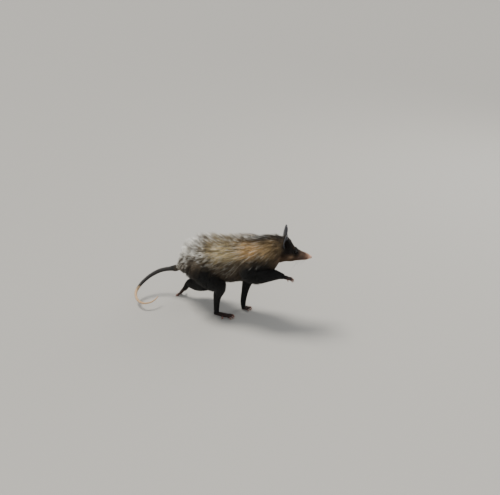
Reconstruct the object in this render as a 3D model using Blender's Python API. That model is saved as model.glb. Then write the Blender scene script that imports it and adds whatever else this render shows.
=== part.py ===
"""A walking big-eared opossum as a still, life-size model: its solids.

Lengths are in centimetres until a mesh is made, in metres. +X is the way the animal walks, +Y its left
and +Z up. The origin is on the floor under the middle of the right hind foot, which carries the step.
"""

import math
import random
from dataclasses import dataclass

import bmesh
import bpy
from mathutils import Vector
from mathutils.bvhtree import BVHTree

CM = 0.01
GAP = 0.03
MIDLINE = 3.0
BODY_SIDES = 20
SPINE_REACH = 1.2
LEG_SIDES = 12
DIGIT_SIDES = 6
TAIL_SIDES = 10

# Where the nose is, and how the head is held
NOSE_TIP = Vector((22.6, 7.6, 18.1))
HEAD_TURN = math.radians(22.0)
HEAD_DROP = math.radians(15.5)
EYE_BACK = 4.5
EYE_OUT = 1.12
EYE_UP = 0.78
EYE_RADIUS = 0.46
EAR_BACK = 7.9
EAR_OUT = 1.9
EAR_UP = 2.3
EAR_LENGTH = 4.3
EAR_WIDTH = 3.3
EAR_THICK = 0.12

# The coat: how far the core lies inside the fur's surface, and the locks that stand on it
CORE_DEPTH = 0.5
TIP_OVER = 0.3
LOCK_SPACING = 1.95
LOCK_WIDTH = 1.85
LOCK_THICK = 0.32
LOCK_SUNK = 0.45
LONGEST_LOCK = 5.6
LIE_ANGLE = math.radians(15.0)
STAND_ANGLE = math.radians(44.0)
FULL_CREST = 2.2
DOWNWARD = 0.38
LEG_DEPTH = 0.35
LEG_TIP_OVER = 0.05
LEG_LOCK_SPACING = 1.85
LEG_LOCK_WIDTH = 1.65
LEG_LIE = Vector((-1.0, 0.0, -0.75))
LOCK_CLEAR = 0.06
LEAST_ROOT_GAP = 0.25
# A lock that would cross another node is tried shorter or raised: (share of its length, of its height).
LOCK_TRIES = ((1.0, 1.0), (1.0, 1.25), (0.8, 1.05), (0.8, 1.35), (0.62, 1.1), (0.62, 1.5), (0.5, 1.3))
# A lock's rings: how far along it, then the shares of its width and its thickness there.
LOCK_RINGS = ((0.0, 0.7, 1.0), (0.36, 1.0, 0.9), (0.7, 0.72, 0.55))

# The spine is one row of rings from tail to nose. These are the places where the body is parted.
TAIL_CUT = 0.0
NECK_CUT = 7.0
HEAD_CUT = 8.4
TURNED = 9.0


@dataclass(frozen=True)
class Ring:
    """One cross-section of the body: its centre and the radii of the fur's surface."""

    x: float
    y: float
    z: float
    wide: float
    up: float
    down: float
    crest: float = 0.0


def head_ring(back, wide, up, down):
    """A ring across the head, so far back from the tip of the nose, round the head's axis."""
    centre = NOSE_TIP - head_axis() * back
    return Ring(centre.x, centre.y - MIDLINE, centre.z, wide, up, down)


def head_axis():
    """The way the nose points."""
    flat = math.cos(HEAD_DROP)
    return Vector((flat * math.cos(HEAD_TURN), flat * math.sin(HEAD_TURN), -math.sin(HEAD_DROP)))


SPINE = [
    Ring(-13.2, 2.2, 10.6, 2.1, 2.1, 2.1, 0.8),
    Ring(-10.6, 1.1, 11.7, 3.7, 3.9, 3.8, 2.1),
    Ring(-7.6, 0.3, 12.6, 4.7, 5.0, 4.9, 3.0),
    Ring(-3.6, 0.0, 13.8, 4.9, 5.5, 5.3, 2.8),
    Ring(0.0, 0.0, 14.8, 4.9, 5.7, 5.6, 2.3),
    Ring(4.5, 0.0, 15.9, 4.8, 5.7, 5.6, 1.9),
    Ring(9.0, 0.1, 16.9, 4.7, 5.7, 5.4, 1.4),
    Ring(11.8, 0.45, 18.1, 4.2, 5.2, 4.3, 1.0),
    Ring(13.9, 1.05, 19.1, 3.6, 4.8, 3.7, 0.6),
    head_ring(7.4, 2.95, 3.6, 3.0),
    head_ring(6.2, 2.7, 2.9, 2.8),
    head_ring(5.3, 2.2, 2.05, 2.5),
    head_ring(4.4, 1.7, 1.4, 2.2),
    head_ring(3.0, 1.2, 0.95, 1.65),
    head_ring(1.6, 0.93, 0.75, 1.15),
    head_ring(0.7, 0.72, 0.6, 0.8),
    head_ring(0.1, 0.5, 0.45, 0.55),
]

# Each leg is a row of (x, y from the midline, z, radius) from inside the body to the wrist or ankle.
LEGS = {
    "hind_leg_right": [
        (-6.6, -2.2, 13.0, 3.2),
        (-3.9, -3.2, 11.6, 3.3),
        (-1.1, -3.6, 9.9, 2.5),
        (-0.1, -3.5, 8.2, 1.65),
        (-0.7, -3.3, 6.2, 1.2),
        (-1.1, -3.15, 4.3, 0.9),
        (-1.25, -3.05, 2.6, 0.78),
        (-1.35, -3.0, 1.4, 0.72),
    ],
    "hind_leg_left": [
        (-5.8, 2.3, 12.8, 3.2),
        (-6.0, 3.3, 9.6, 3.1),
        (-7.0, 3.6, 6.4, 2.6),
        (-9.7, 3.5, 5.0, 2.2),
        (-12.1, 3.25, 4.6, 1.4),
        (-13.2, 3.25, 3.9, 0.85),
        (-14.1, 3.35, 2.5, 0.68),
    ],
    "foreleg_left": [
        (9.6, 2.2, 15.6, 2.6),
        (7.8, 3.1, 12.2, 2.3),
        (5.6, 3.3, 9.3, 1.6),
        (4.8, 3.2, 7.0, 1.15),
        (4.3, 3.1, 4.6, 0.9),
        (4.0, 3.0, 2.6, 0.78),
        (3.95, 3.0, 1.4, 0.7),
    ],
    "foreleg_right": [
        (8.6, -2.0, 16.8, 2.8),
        (8.6, -3.2, 15.0, 2.6),
        (10.5, -3.5, 14.2, 2.2),
        (12.8, -3.0, 14.3, 1.75),
        (14.9, -2.3, 14.5, 1.35),
        (16.3, -1.75, 14.4, 0.95),
        (17.3, -1.35, 14.1, 0.7),
    ],
}


@dataclass(frozen=True)
class Foot:
    """Where a foot is: its palm's middle, the way it points and its tilt, whether it is a hind one, and
    where on the leg's row the ankle or wrist is parted."""

    x: float
    y: float
    z: float
    turn: float
    tilt: float
    hind: bool
    left: bool
    cut: int


FEET = {
    "hind_foot_right": Foot(0.9, -3.0, 0.36, 0.0, 0.0, True, False, 6),
    "hind_foot_left": Foot(-15.15, 3.45, 1.35, 176.0, 52.0, True, True, 6),
    "forefoot_left": Foot(4.35, 3.0, 0.34, 8.0, 0.0, False, True, 5),
    "forefoot_right": Foot(18.05, -1.05, 13.75, 22.0, 16.0, False, False, 6),
}
FLOOR_REACH = 2.0
# Where on the leg's row the knee or elbow is parted, and the name of the length below it
LEG_BENDS = {"hind_leg_right": 3.0, "hind_leg_left": 2.0, "foreleg_left": 2.0, "foreleg_right": 2.0}
SHANKS = {
    "hind_leg_right": "hind_shank_right",
    "hind_leg_left": "hind_shank_left",
    "foreleg_left": "forearm_left",
    "foreleg_right": "forearm_right",
}

# The tail: (x, y from the midline, z, radius) from the rump to the tip.
TAIL = [
    (-12.5, 1.9, 11.0, 2.1),
    (-14.4, 2.7, 9.8, 1.15),
    (-16.2, 3.3, 8.7, 0.68),
    (-18.3, 3.65, 7.85, 0.62),
    (-20.6, 3.75, 7.1, 0.6),
    (-22.6, 3.2, 6.3, 0.58),
    (-24.5, 1.5, 5.1, 0.52),
    (-25.7, -1.2, 3.7, 0.45),
    (-25.6, -4.2, 2.6, 0.38),
    (-23.7, -6.9, 2.0, 0.32),
    (-21.3, -8.1, 1.85, 0.27),
    (-19.5, -7.2, 1.95, 0.22),
    (-18.8, -5.5, 2.25, 0.17),
    (-18.7, -3.9, 2.6, 0.1),
]
TAIL_CUTS = (0.0, 1.8, 5.0, 7.6, 10.2, 13.0)


def material(name, hex_colour, roughness=0.6):
    """A plain material of the piece's own colour."""
    made = bpy.data.materials.get(name) or bpy.data.materials.new(name)
    made.use_nodes = True
    channels = [int(hex_colour[i : i + 2], 16) / 255 for i in (1, 3, 5)]
    linear = [c / 12.92 if c <= 0.04045 else ((c + 0.055) / 1.055) ** 2.4 for c in channels]
    shader = made.node_tree.nodes["Principled BSDF"]
    shader.inputs["Base Color"].default_value = (*linear, 1.0)
    shader.inputs["Roughness"].default_value = roughness
    shader.inputs["Metallic"].default_value = 0.0
    return made


def spline(rows, at):
    """The row of numbers at this place between the given rows, on a smooth curve through them."""
    last = len(rows) - 1
    at = min(max(at, 0.0), float(last))
    i = min(int(at), last - 1)
    t = at - i
    before, start, end, after = (rows[min(max(i + k, 0), last)] for k in (-1, 0, 1, 2))
    found = []
    for a, b, c, d in zip(before, start, end, after):
        curve = 2 * b + (c - a) * t + (2 * a - 5 * b + 4 * c - d) * t * t + (3 * b - a - 3 * c + d) * t**3
        found.append(curve / 2)
    return found


def spine_axes(rows, at):
    """The spine's axes. They turn towards the head's along the neck, slowly, so that no rings cross."""
    forward = axes_along(rows, min(at, NECK_CUT), reach=SPINE_REACH)[0]
    share = min(max((at - NECK_CUT) / (TURNED - NECK_CUT), 0.0), 1.0)
    share = share * share * (3 - 2 * share)
    forward = (forward * (1 - share) + head_axis() * share).normalized()
    left = Vector((0.0, 0.0, 1.0)).cross(forward).normalized()
    return forward, left, forward.cross(left)


def spine_rows():
    """The spine's rings as rows of numbers."""
    return [(r.x, r.y + MIDLINE, r.z, r.wide, r.up, r.down, r.crest) for r in SPINE]


def axes_along(rows, at, lift=Vector((0.0, 0.0, 1.0)), reach=0.3):
    """The way a row of rings runs here, its left side and its up, read over a short reach each way."""
    ahead = Vector(spline(rows, at + reach)[:3])
    behind = Vector(spline(rows, at - reach)[:3])
    forward = (ahead - behind).normalized()
    left = lift.cross(forward).normalized()
    return forward, left, forward.cross(left)


def carried_axes(rows, places):
    """Axes that turn no more than they must from each place to the next, for a limb that bends any way."""
    forward, left, up = axes_along(rows, places[0], Vector((0.31, 0.22, 0.92)))
    found = []
    for at in places:
        ahead = axes_along(rows, at)[0]
        left = (left - ahead * left.dot(ahead)).normalized()
        up = ahead.cross(left)
        found.append((ahead, left, up))
    return found


def new_object(name, verts, faces, look):
    """An object from points in centimetres."""
    mesh = bpy.data.meshes.new(name)
    mesh.from_pydata([Vector(v) * CM for v in verts], [], faces)
    mesh.materials.append(look)
    mesh.validate()
    found = bpy.data.objects.new(name, mesh)
    PARTS.objects.link(found)
    return found


def tube_faces(rings, sides):
    """The quads between rings of points, and a flat face on each end."""
    faces = [list(range(sides))[::-1]]
    for i in range(rings - 1):
        for j in range(sides):
            a, b = i * sides + j, i * sides + (j + 1) % sides
            faces.append([a, b, b + sides, a + sides])
    faces.append([(rings - 1) * sides + j for j in range(sides)])
    return faces


def lofted(name, rings, look):
    """A closed solid through rings of points, each ring running the same way round."""
    verts = [point for ring in rings for point in ring]
    return new_object(name, verts, tube_faces(len(rings), len(rings[0])), look)


def tube(name, rows, places, look, sides, point=True, flat=1.0):
    """A tapered limb with round sections. With point set it ends in a rounded tip."""
    rings = []
    for at, (_, left, up) in zip(places, carried_axes(rows, places)):
        row = spline(rows, at)
        rings.append(round_ring(Vector(row[:3]), left, up, row[3], row[3] * flat, sides))
    if point:
        forward, left, up = carried_axes(rows, places)[-1]
        row = spline(rows, places[-1])
        for ahead, share in ((0.55, 0.8), (0.9, 0.4)):
            centre = Vector(row[:3]) + forward * row[3] * ahead
            rings.append(round_ring(centre, left, up, row[3] * share, row[3] * share * flat, sides))
    return lofted(name, rings, look)


def round_ring(centre, left, up, wide, high, sides):
    """Points round an ellipse."""
    ring = []
    for j in range(sides):
        angle = 2 * math.pi * j / sides
        ring.append(centre + left * wide * math.cos(angle) + up * high * math.sin(angle))
    return ring


def body_point(rows, at, angle, grow=0.0):
    """A point on the fur's surface, so far out from it, at an angle up from the left side."""
    forward, left, up = spine_axes(rows, at)
    row = spline(rows, at)
    across, rise = math.cos(angle), math.sin(angle)
    high = row[4] if rise > 0 else row[5]
    return Vector(row[:3]) + left * (row[3] + grow) * across + up * (high + grow) * rise


def core_grow(at):
    """How far the core lies from the fur's surface: inside it, but level with it at the head."""
    share = min(max((at - NECK_CUT) / (HEAD_CUT - NECK_CUT), 0.0), 1.0)
    return -CORE_DEPTH * (1.0 - share)


def body_ring(rows, at, grow=0.0, shift=0.0):
    """The core's cross-section here: an egg shape with its own radius up, down and to each side."""
    forward = spine_axes(rows, at)[0]
    grow += core_grow(at)
    angles = [2 * math.pi * j / BODY_SIDES for j in range(BODY_SIDES)]
    return [body_point(rows, at, angle, grow) + forward * shift for angle in angles]


def evaluated_copy(thing):
    """The object's mesh as its modifiers leave it."""
    graph = bpy.context.evaluated_depsgraph_get()
    return bpy.data.meshes.new_from_object(thing.evaluated_get(graph))


def boolean(thing, pieces, operation, solver="EXACT"):
    """Joins closed pieces to a thing, or cuts them from it, and removes them."""
    group = bpy.data.collections.new("pieces")
    bpy.context.scene.collection.children.link(group)
    for piece in pieces:
        for home in list(piece.users_collection):
            home.objects.unlink(piece)
        group.objects.link(piece)
    change = thing.modifiers.new("join", "BOOLEAN")
    change.operation = operation
    change.operand_type = "COLLECTION"
    change.collection = group
    change.solver = solver
    bpy.context.view_layer.update()
    old = thing.data
    thing.data = evaluated_copy(thing)
    thing.modifiers.clear()
    bpy.data.meshes.remove(old)
    for piece in pieces:
        bpy.data.objects.remove(piece)
    bpy.data.collections.remove(group)
    keep_largest(thing)


def keep_largest(thing):
    """Keeps the largest closed surface of a mesh and drops loose scraps."""
    mesh = bmesh.new()
    mesh.from_mesh(thing.data)
    bmesh.ops.remove_doubles(mesh, verts=mesh.verts, dist=1e-7)
    bmesh.ops.triangulate(mesh, faces=mesh.faces)
    left = set(mesh.faces)
    groups = []
    while left:
        stack = [left.pop()]
        group = set(stack)
        while stack:
            for edge in stack.pop().edges:
                for face in edge.link_faces:
                    if face in left and len(edge.link_faces) == 2:
                        left.discard(face)
                        group.add(face)
                        stack.append(face)
        groups.append(group)
    largest = max(groups, key=lambda group: sum(face.calc_area() for face in group))
    bmesh.ops.delete(mesh, geom=[f for f in mesh.faces if f not in largest], context="FACES")
    bmesh.ops.recalc_face_normals(mesh, faces=mesh.faces)
    mesh.to_mesh(thing.data)
    mesh.free()


def halved(thing, point, normal):
    """Cuts away what lies past a plane and closes the cut with a flat face."""
    mesh = bmesh.new()
    mesh.from_mesh(thing.data)
    everything = mesh.verts[:] + mesh.edges[:] + mesh.faces[:]
    found = bmesh.ops.bisect_plane(
        mesh,
        geom=everything,
        dist=1e-7,
        plane_co=point * CM,
        plane_no=normal,
        clear_outer=True,
    )
    rim = [item for item in found["geom_cut"] if isinstance(item, bmesh.types.BMEdge)]
    bmesh.ops.holes_fill(mesh, edges=rim, sides=0)
    mesh.to_mesh(thing.data)
    mesh.free()
    keep_largest(thing)


def parted(thing, name, point, normal):
    """Parts a thing in two by a thin cut across it, and gives the piece past the cut its own name."""
    other = bpy.data.objects.new(name, thing.data.copy())
    PARTS.objects.link(other)
    halved(thing, point - normal * GAP / 2, normal)
    halved(other, point + normal * GAP / 2, -normal)
    return other


def spine_places(start, end):
    """Where the body's rings stand on the spine: every half step of the torso, closer along the neck."""
    torso = [i / 2 for i in range(round(NECK_CUT * 2) + 1)]
    neck = [NECK_CUT + (HEAD_CUT - NECK_CUT) * i / 4 for i in range(1, 5)]
    return [at for at in torso + neck if start - 1e-6 <= at <= end + 1e-6]


def trunk(name, start, end, look, grow=0.0):
    """A length of the body between two places on the spine, with a flat cut on each end."""
    rows = spine_rows()
    places = spine_places(start, end)
    rings = []
    for i, at in enumerate(places):
        shift = GAP / 2 if i == 0 else -GAP / 2 if i == len(places) - 1 else 0.0
        rings.append(body_ring(rows, at, grow, shift))
    return lofted(name, rings, look)


def rounded_end(rings, centre, reach):
    """Closes a row of rings with two smaller ones that make a rounded end."""
    last = rings[-1]
    for share, ahead in ((0.75, 0.6), (0.35, 0.95)):
        rings.append([centre + (p - centre) * share + reach * ahead for p in last])
    return rings


MOUTH_CORNER = 11.4
MOUTH_ANGLE = math.radians(-31.0)
LIP_ANGLE = math.radians(9.0)
HEAD_ANGLES = [-90, -66, -49, -40, -31, -22, -8, 12, 34, 55, 74, 90]


def head_ring_points(rows, at, shift=0.0, grow=0.0):
    """A ring of the head, with the mouth's groove and the lips drawn into its sides."""
    forward, left, up = spine_axes(rows, at)
    row = spline(rows, at)
    centre = Vector(row[:3]) + forward * shift
    open_share = min(1.0, max(0.0, (at - MOUTH_CORNER) / 0.8))
    right = [math.radians(a) for a in HEAD_ANGLES]
    angles = [(a, 1) for a in right] + [(a, -1) for a in right[-2:0:-1]]
    ring = []
    for angle, side in angles:
        high = row[4] if angle > 0 else row[5]
        depth = 0.0
        if abs(angle - MOUTH_ANGLE) < 0.02:
            depth = -0.09 * open_share
        elif abs(angle - MOUTH_ANGLE) < LIP_ANGLE + 0.02:
            depth = 0.035 * open_share
        across = math.cos(angle) * (row[3] + grow + depth) * side
        rise = math.sin(angle) * (high + grow + depth)
        ring.append(centre + left * across + up * rise)
    return ring


def head(fur, bare):
    """The head with its mouth line and eye sockets, the nose pad with nostrils, and the eyes."""
    rows = spine_rows()
    last = len(rows) - 1
    cut = last - 0.75
    places = [HEAD_CUT + (cut - HEAD_CUT) * i / 17 for i in range(18)]
    rings = [
        head_ring_points(rows, at, GAP / 2 if i == 0 else -GAP / 2 if i == 17 else 0.0)
        for i, at in enumerate(places)
    ]
    skull = lofted("head", rings, fur)
    forward, left, up = axes_along(rows, last - 2.0)
    lids = []
    cutters = []
    for side, name in ((1, "eye_left"), (-1, "eye_right")):
        centre = NOSE_TIP - head_axis() * EYE_BACK + left * EYE_OUT * side + up * EYE_UP
        out = (left * side * 0.86 + up * 0.42 + forward * 0.3).normalized()
        lids.append(ring_solid("lid", centre, out, EYE_RADIUS * 0.98, 0.17, bare))
        cutters.append(ball("socket", centre, EYE_RADIUS + GAP, bare))
        ball(name, centre, EYE_RADIUS, material("eye", "#0D0A08", 0.1))
    boolean(skull, lids, "UNION")
    boolean(skull, cutters, "DIFFERENCE")
    nose_rings = [
        head_ring_points(rows, at, GAP / 2 if i == 0 else 0.0)
        for i, at in enumerate((cut, last - 0.3, last))
    ]
    tip = Vector(rows[-1][:3])
    nose = lofted("nose", rounded_end(nose_rings, tip, forward * 0.32), bare)
    nostrils = [
        ball("nostril", NOSE_TIP + left * 0.27 * side + up * 0.02 + forward * 0.2, 0.13, bare)
        for side in (1, -1)
    ]
    boolean(nose, nostrils, "DIFFERENCE")


def ball(name, centre, radius, look):
    """A round ball."""
    mesh = bpy.data.meshes.new(name)
    made = bmesh.new()
    bmesh.ops.create_icosphere(made, subdivisions=2, radius=radius * CM)
    bmesh.ops.translate(made, verts=made.verts, vec=centre * CM)
    made.to_mesh(mesh)
    made.free()
    mesh.materials.append(look)
    found = bpy.data.objects.new(name, mesh)
    PARTS.objects.link(found)
    return found


def ring_solid(name, centre, out, radius, thick, look):
    """A closed round ring, for the lids round an eye."""
    sideways = out.orthogonal().normalized()
    other = out.cross(sideways)
    sides, across = 12, 5
    verts = []
    for i in range(sides):
        angle = 2 * math.pi * i / sides
        spoke = sideways * math.cos(angle) + other * math.sin(angle)
        for j in range(across):
            turn = 2 * math.pi * j / across
            verts.append(centre + out * (0.14 + thick * math.sin(turn)) + spoke * (radius + thick * math.cos(turn)))
    faces = []
    for i in range(sides):
        for j in range(across):
            a, b = i * across + j, i * across + (j + 1) % across
            c, d = (i + 1) % sides * across + (j + 1) % across, (i + 1) % sides * across + j
            faces.append([a, b, c, d])
    found = new_object(name, verts, faces, look)
    keep_largest(found)
    return found


def ear(name, side, look):
    """A thin round cup that stands on the head and opens forwards and outwards."""
    forward, left, up = axes_along(spine_rows(), len(SPINE) - 3.0)
    base = NOSE_TIP - head_axis() * EAR_BACK + left * EAR_OUT * side + up * EAR_UP
    stand = (up * 0.86 + left * side * 0.48 - forward * 0.12).normalized()
    face = (forward * 0.93 + left * side * 0.28 + up * 0.1).normalized()
    across = stand.cross(face).normalized()
    face = across.cross(stand).normalized()
    high, wide = 7, 8
    inner, outer = [], []
    for i in range(high + 1):
        rise = i / high
        half = EAR_WIDTH / 2 * math.sin(math.pi * (0.13 + 0.80 * rise)) ** 0.75
        for j in range(wide + 1):
            u = 2 * j / wide - 1
            cup = 0.55 * (1 - rise * 0.45) * (u * u) - 0.25 * math.sin(math.pi * rise)
            point = base + stand * EAR_LENGTH * (rise - 0.1) * (1 - 0.1 * u * u) + across * half * u + face * cup
            inner.append(point)
            outer.append(point - face * EAR_THICK)
    verts = inner + outer
    half_count = len(inner)
    faces = []
    for i in range(high):
        for j in range(wide):
            a = i * (wide + 1) + j
            b, c, d = a + 1, a + wide + 2, a + wide + 1
            for first, second, third in ((a, b, c), (a, c, d)):
                faces.append([first, second, third])
                faces.append([half_count + third, half_count + second, half_count + first])
    rim = list(range(wide + 1))
    rim += [(i + 1) * (wide + 1) + wide for i in range(high)]
    rim += [high * (wide + 1) + j for j in range(wide - 1, -1, -1)]
    rim += [i * (wide + 1) for i in range(high - 1, 0, -1)]
    for a, b in zip(rim, rim[1:] + rim[:1]):
        faces.append([b, a, half_count + a])
        faces.append([b, half_count + a, half_count + b])
    found = new_object(name, verts, faces, look)
    keep_largest(found)
    return found


def grown_head():
    """The head's shape, larger by the gap, to cut clear what stands on it."""
    rows = spine_rows()
    last = len(rows) - 1
    start = HEAD_CUT - 0.4
    places = [start + (last - start) * i / 20 for i in range(21)]
    return lofted("clear", [head_ring_points(rows, at, 0.0, GAP) for at in places], PARTS_LOOKS["fur"])


def digit(start, direction, length, radius, claw, down, looks):
    """One toe or finger as a bent, tapered tube, with its claw if it has one."""
    fur, claw_look = looks
    side = direction.cross(down).normalized()
    tip = start + direction * length
    arch = -down * length * 0.1
    rows = [
        (*(start - direction * 0.35), radius),
        (*(start + direction * length * 0.35 + arch), radius * 1.02),
        (*(start + direction * length * 0.72 + arch * 0.8), radius * 0.86),
        (*tip, radius * 0.8),
    ]
    pieces = [tube("toe", rows, [0.0, 1.0, 2.0, 2.7], fur, DIGIT_SIDES)]
    if claw:
        rows = [
            (*(tip - direction * 0.12 - down * radius * 0.35), radius * 0.5),
            (*(tip + direction * claw * 0.55 - down * radius * 0.2), radius * 0.36),
            (*(tip + direction * claw + down * radius * 0.35), radius * 0.13),
        ]
        pieces.append(tube("claw", rows, [0.0, 1.0, 2.0], claw_look, 5, point=False))
    return pieces


def foot(name, place, looks):
    """A foot's pieces: the sole, five digits and their claws, in the foot's own place."""
    turn = math.radians(place.turn)
    tilt = math.radians(place.tilt)
    forward = Vector((math.cos(turn), math.sin(turn), 0.0))
    left = Vector((0.0, 0.0, 1.0)).cross(forward)
    forward = forward * math.cos(tilt) - Vector((0.0, 0.0, 1.0)) * math.sin(tilt)
    up = forward.cross(left)
    inner = left if (place.left != (abs(place.turn) < 90)) else -left
    centre = Vector((place.x, place.y + MIDLINE, place.z))
    if place.hind:
        sole = [(-2.9, 0.42, 0.42), (-2.2, 0.55, 0.55), (-0.9, 0.6, 0.5), (0.2, 0.85, 0.46), (0.9, 0.85, 0.4)]
        digits = [(-0.62, -11, 1.75, 0.24, 0.5), (-0.22, -3, 2.15, 0.24, 0.5), (0.2, 5, 2.2, 0.24, 0.5)]
        digits += [(0.6, 14, 1.95, 0.24, 0.5)]
        thumb = (-0.35, 0.5, 62, 1.5, 0.28, 0.0)
        base = 0.75
    else:
        sole = [(-0.75, 0.52, 0.5), (-0.3, 0.68, 0.52), (0.25, 0.76, 0.44), (0.6, 0.7, 0.38)]
        digits = [(-0.52, -34, 1.25, 0.2, 0.42), (-0.18, -11, 1.5, 0.2, 0.42), (0.18, 9, 1.55, 0.2, 0.42)]
        digits += [(0.5, 30, 1.35, 0.2, 0.42)]
        thumb = (-0.1, 0.5, 62, 1.05, 0.19, 0.36)
        base = 0.45
    if place.tilt > 30:
        sole = sole[1:]
    rings = [
        round_ring(centre + forward * along, left, up, wide, high, 10) for along, wide, high in sole
    ]
    palm = lofted(name, rings, looks[0])
    keep_largest(palm)
    pieces = []
    for out, angle, length, radius, claw in digits:
        way = spread_way(forward, inner, angle)
        start = centre + forward * base + inner * out - up * 0.12
        pieces += digit(start, way, length, radius, claw, -up, looks)
    back, out, angle, length, radius, claw = thumb
    start = centre + forward * back + inner * out - up * 0.12
    pieces += digit(start, spread_way(forward, inner, angle), length, radius, claw, -up, looks)
    return palm, pieces


def spread_way(forward, inner, angle):
    """The way a digit points, so many degrees towards the foot's inner side."""
    return forward * math.cos(math.radians(angle)) + inner * math.sin(math.radians(angle))


def leg_rows(name):
    """A leg's rows. Its thigh or upper arm is a core inside the fur, and the rest is at its surface."""
    bend = LEG_BENDS[name]
    depths = [LEG_DEPTH * max(0.0, 1 - i / bend) for i in range(len(LEGS[name]))]
    return [(x, y + MIDLINE, z, r - depth) for (x, y, z, r), depth in zip(LEGS[name], depths)]


def leg(name, foot_name, looks):
    """A leg as one form with its foot, parted by thin cuts at knee or elbow and at ankle or wrist."""
    rows = leg_rows(name)
    places = [i / 2 for i in range(2 * len(rows) - 1)]
    limb = tube(name, rows, places, looks[0], LEG_SIDES)
    keep_largest(limb)
    place = FEET[foot_name]
    palm, pieces = foot("palm", place, looks)
    boolean(limb, [palm, *pieces], "UNION")
    lower = parted(limb, foot_name, Vector(rows[place.cut][:3]), axes_along(rows, place.cut)[0])
    if place.z < FLOOR_REACH:
        halved(lower, Vector((0.0, 0.0, 0.0)), Vector((0.0, 0.0, -1.0)))
    boolean(limb, [trunk("clear", TAIL_CUT, HEAD_CUT, looks[0], GAP)], "DIFFERENCE")
    bend = LEG_BENDS[name]
    parted(limb, SHANKS[name], Vector(rows_at(rows, bend)), axes_along(rows, bend)[0])
    return limb


def tree_of(things):
    """The things' surfaces in one search tree."""
    points, faces = [], []
    for thing in things:
        start = len(points)
        points += [v.co / CM for v in thing.data.vertices]
        faces += [[start + i for i in f.vertices] for f in thing.data.polygons]
    return BVHTree.FromPolygons(points, faces)


@dataclass(frozen=True)
class Lock:
    """A flat, tapered lock: where it is rooted, which way it lies, and its length, height and width."""

    root: Vector
    normal: Vector
    lay: Vector
    length: float
    height: float
    width: float

    def shape(self, shorter, raised, grow=0.0):
        """Points and faces. It leaves the surface steeply and bends over along its lie."""
        side = self.normal.cross(self.lay).normalized()
        length, height = self.length * shorter, self.height * raised
        run = math.sqrt(max(length * length - height * height, (0.3 * length) ** 2))
        points = []
        for share, wide, thick in LOCK_RINGS:
            rise = height * (1 - (1 - share) ** 1.6) - (LOCK_SUNK if share == 0.0 else 0.0)
            centre = self.root + self.lay * run * share + self.normal * rise
            out = side * (self.width / 2 * wide + grow)
            over = self.normal * (LOCK_THICK / 2 * thick + grow)
            points += [centre + out, centre + over, centre - out, centre - over]
        points.append(self.root + self.lay * (run + grow) + self.normal * height)
        faces = [[3, 2, 1, 0]]
        for ring in range(len(LOCK_RINGS) - 1):
            for j in range(4):
                a, b = ring * 4 + j, ring * 4 + (j + 1) % 4
                faces.append([a, b, b + 4, a + 4])
        last = 4 * (len(LOCK_RINGS) - 1)
        faces += [[last + j, last + (j + 1) % 4, last + 4] for j in range(4)]
        return points, faces

    def made(self, keep_clear, look):
        """Its object, shortened or raised until it clears the other nodes, or None where it can't."""
        nearest, out, _, away = keep_clear.find_nearest(self.root)
        if away < LEAST_ROOT_GAP or (self.root - nearest).dot(out) < 0:
            return None
        for shorter, raised in LOCK_TRIES:
            grown = BVHTree.FromPolygons(*self.shape(shorter, raised, LOCK_CLEAR))
            if not grown.overlap(keep_clear):
                return new_object("lock", *self.shape(shorter, raised), look)
        return None


def surface_axes(rows, at, angle, grow):
    """A point of the core's surface, its normal, and the directions towards the tail and down the side."""
    here = body_point(rows, at, angle, grow)
    back = body_point(rows, at - 0.08, angle, grow) - here
    lower = -1 if math.cos(angle) > 0 else 1
    round_way = body_point(rows, at, angle + 0.06 * lower, grow) - here
    normal = back.cross(round_way).normalized()
    centre = Vector(spline(rows, at)[:3])
    normal = normal if normal.dot(here - centre) > 0 else -normal
    return here, normal, back.normalized(), round_way.normalized()


def body_lock(rows, at, angle, draw):
    """The lock at a place on the body: flat on the sides, tall along the back and short on the belly."""
    here, normal, back, lower = surface_axes(rows, at, angle, core_grow(at))
    rise = math.sin(angle)
    crest = spline(rows, at)[6] * max(rise, 0.0) ** 2.5
    belly = max(0.0, -rise - 0.55)
    height = -core_grow(at) + TIP_OVER + crest
    slope = LIE_ANGLE + (STAND_ANGLE - LIE_ANGLE) * min(crest / FULL_CREST, 1.0)
    length = min(height / math.sin(slope) * draw.uniform(0.88, 1.08), LONGEST_LOCK)
    down = lower * DOWNWARD * (1 - max(rise, 0.0) ** 4) * draw.uniform(0.5, 1.5)
    lay = (back + down).normalized()
    width = LOCK_WIDTH * draw.uniform(0.85, 1.1)
    return Lock(here, normal, lay, length * (1 - 0.45 * belly), height * (1 - 0.5 * belly), width)


def body_locks(start, end, draw):
    """The locks of one length of the body, in staggered rows from its front to its back."""
    rows = spine_rows()
    found = []
    at = end
    number = 0
    while at > start:
        row = spline(rows, at)
        girth = math.pi * (row[3] + (row[4] + row[5]) / 2 + 2 * core_grow(at))
        count = max(6, round(girth / LOCK_SPACING))
        for j in range(count):
            angle = 2 * math.pi * (j + 0.5 * (number % 2) + draw.uniform(-0.12, 0.12)) / count
            found.append(body_lock(rows, at + draw.uniform(-0.06, 0.06), angle, draw))
        at -= LOCK_SPACING * 0.98 / speed(rows, at)
        number += 1
    return found


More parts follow.
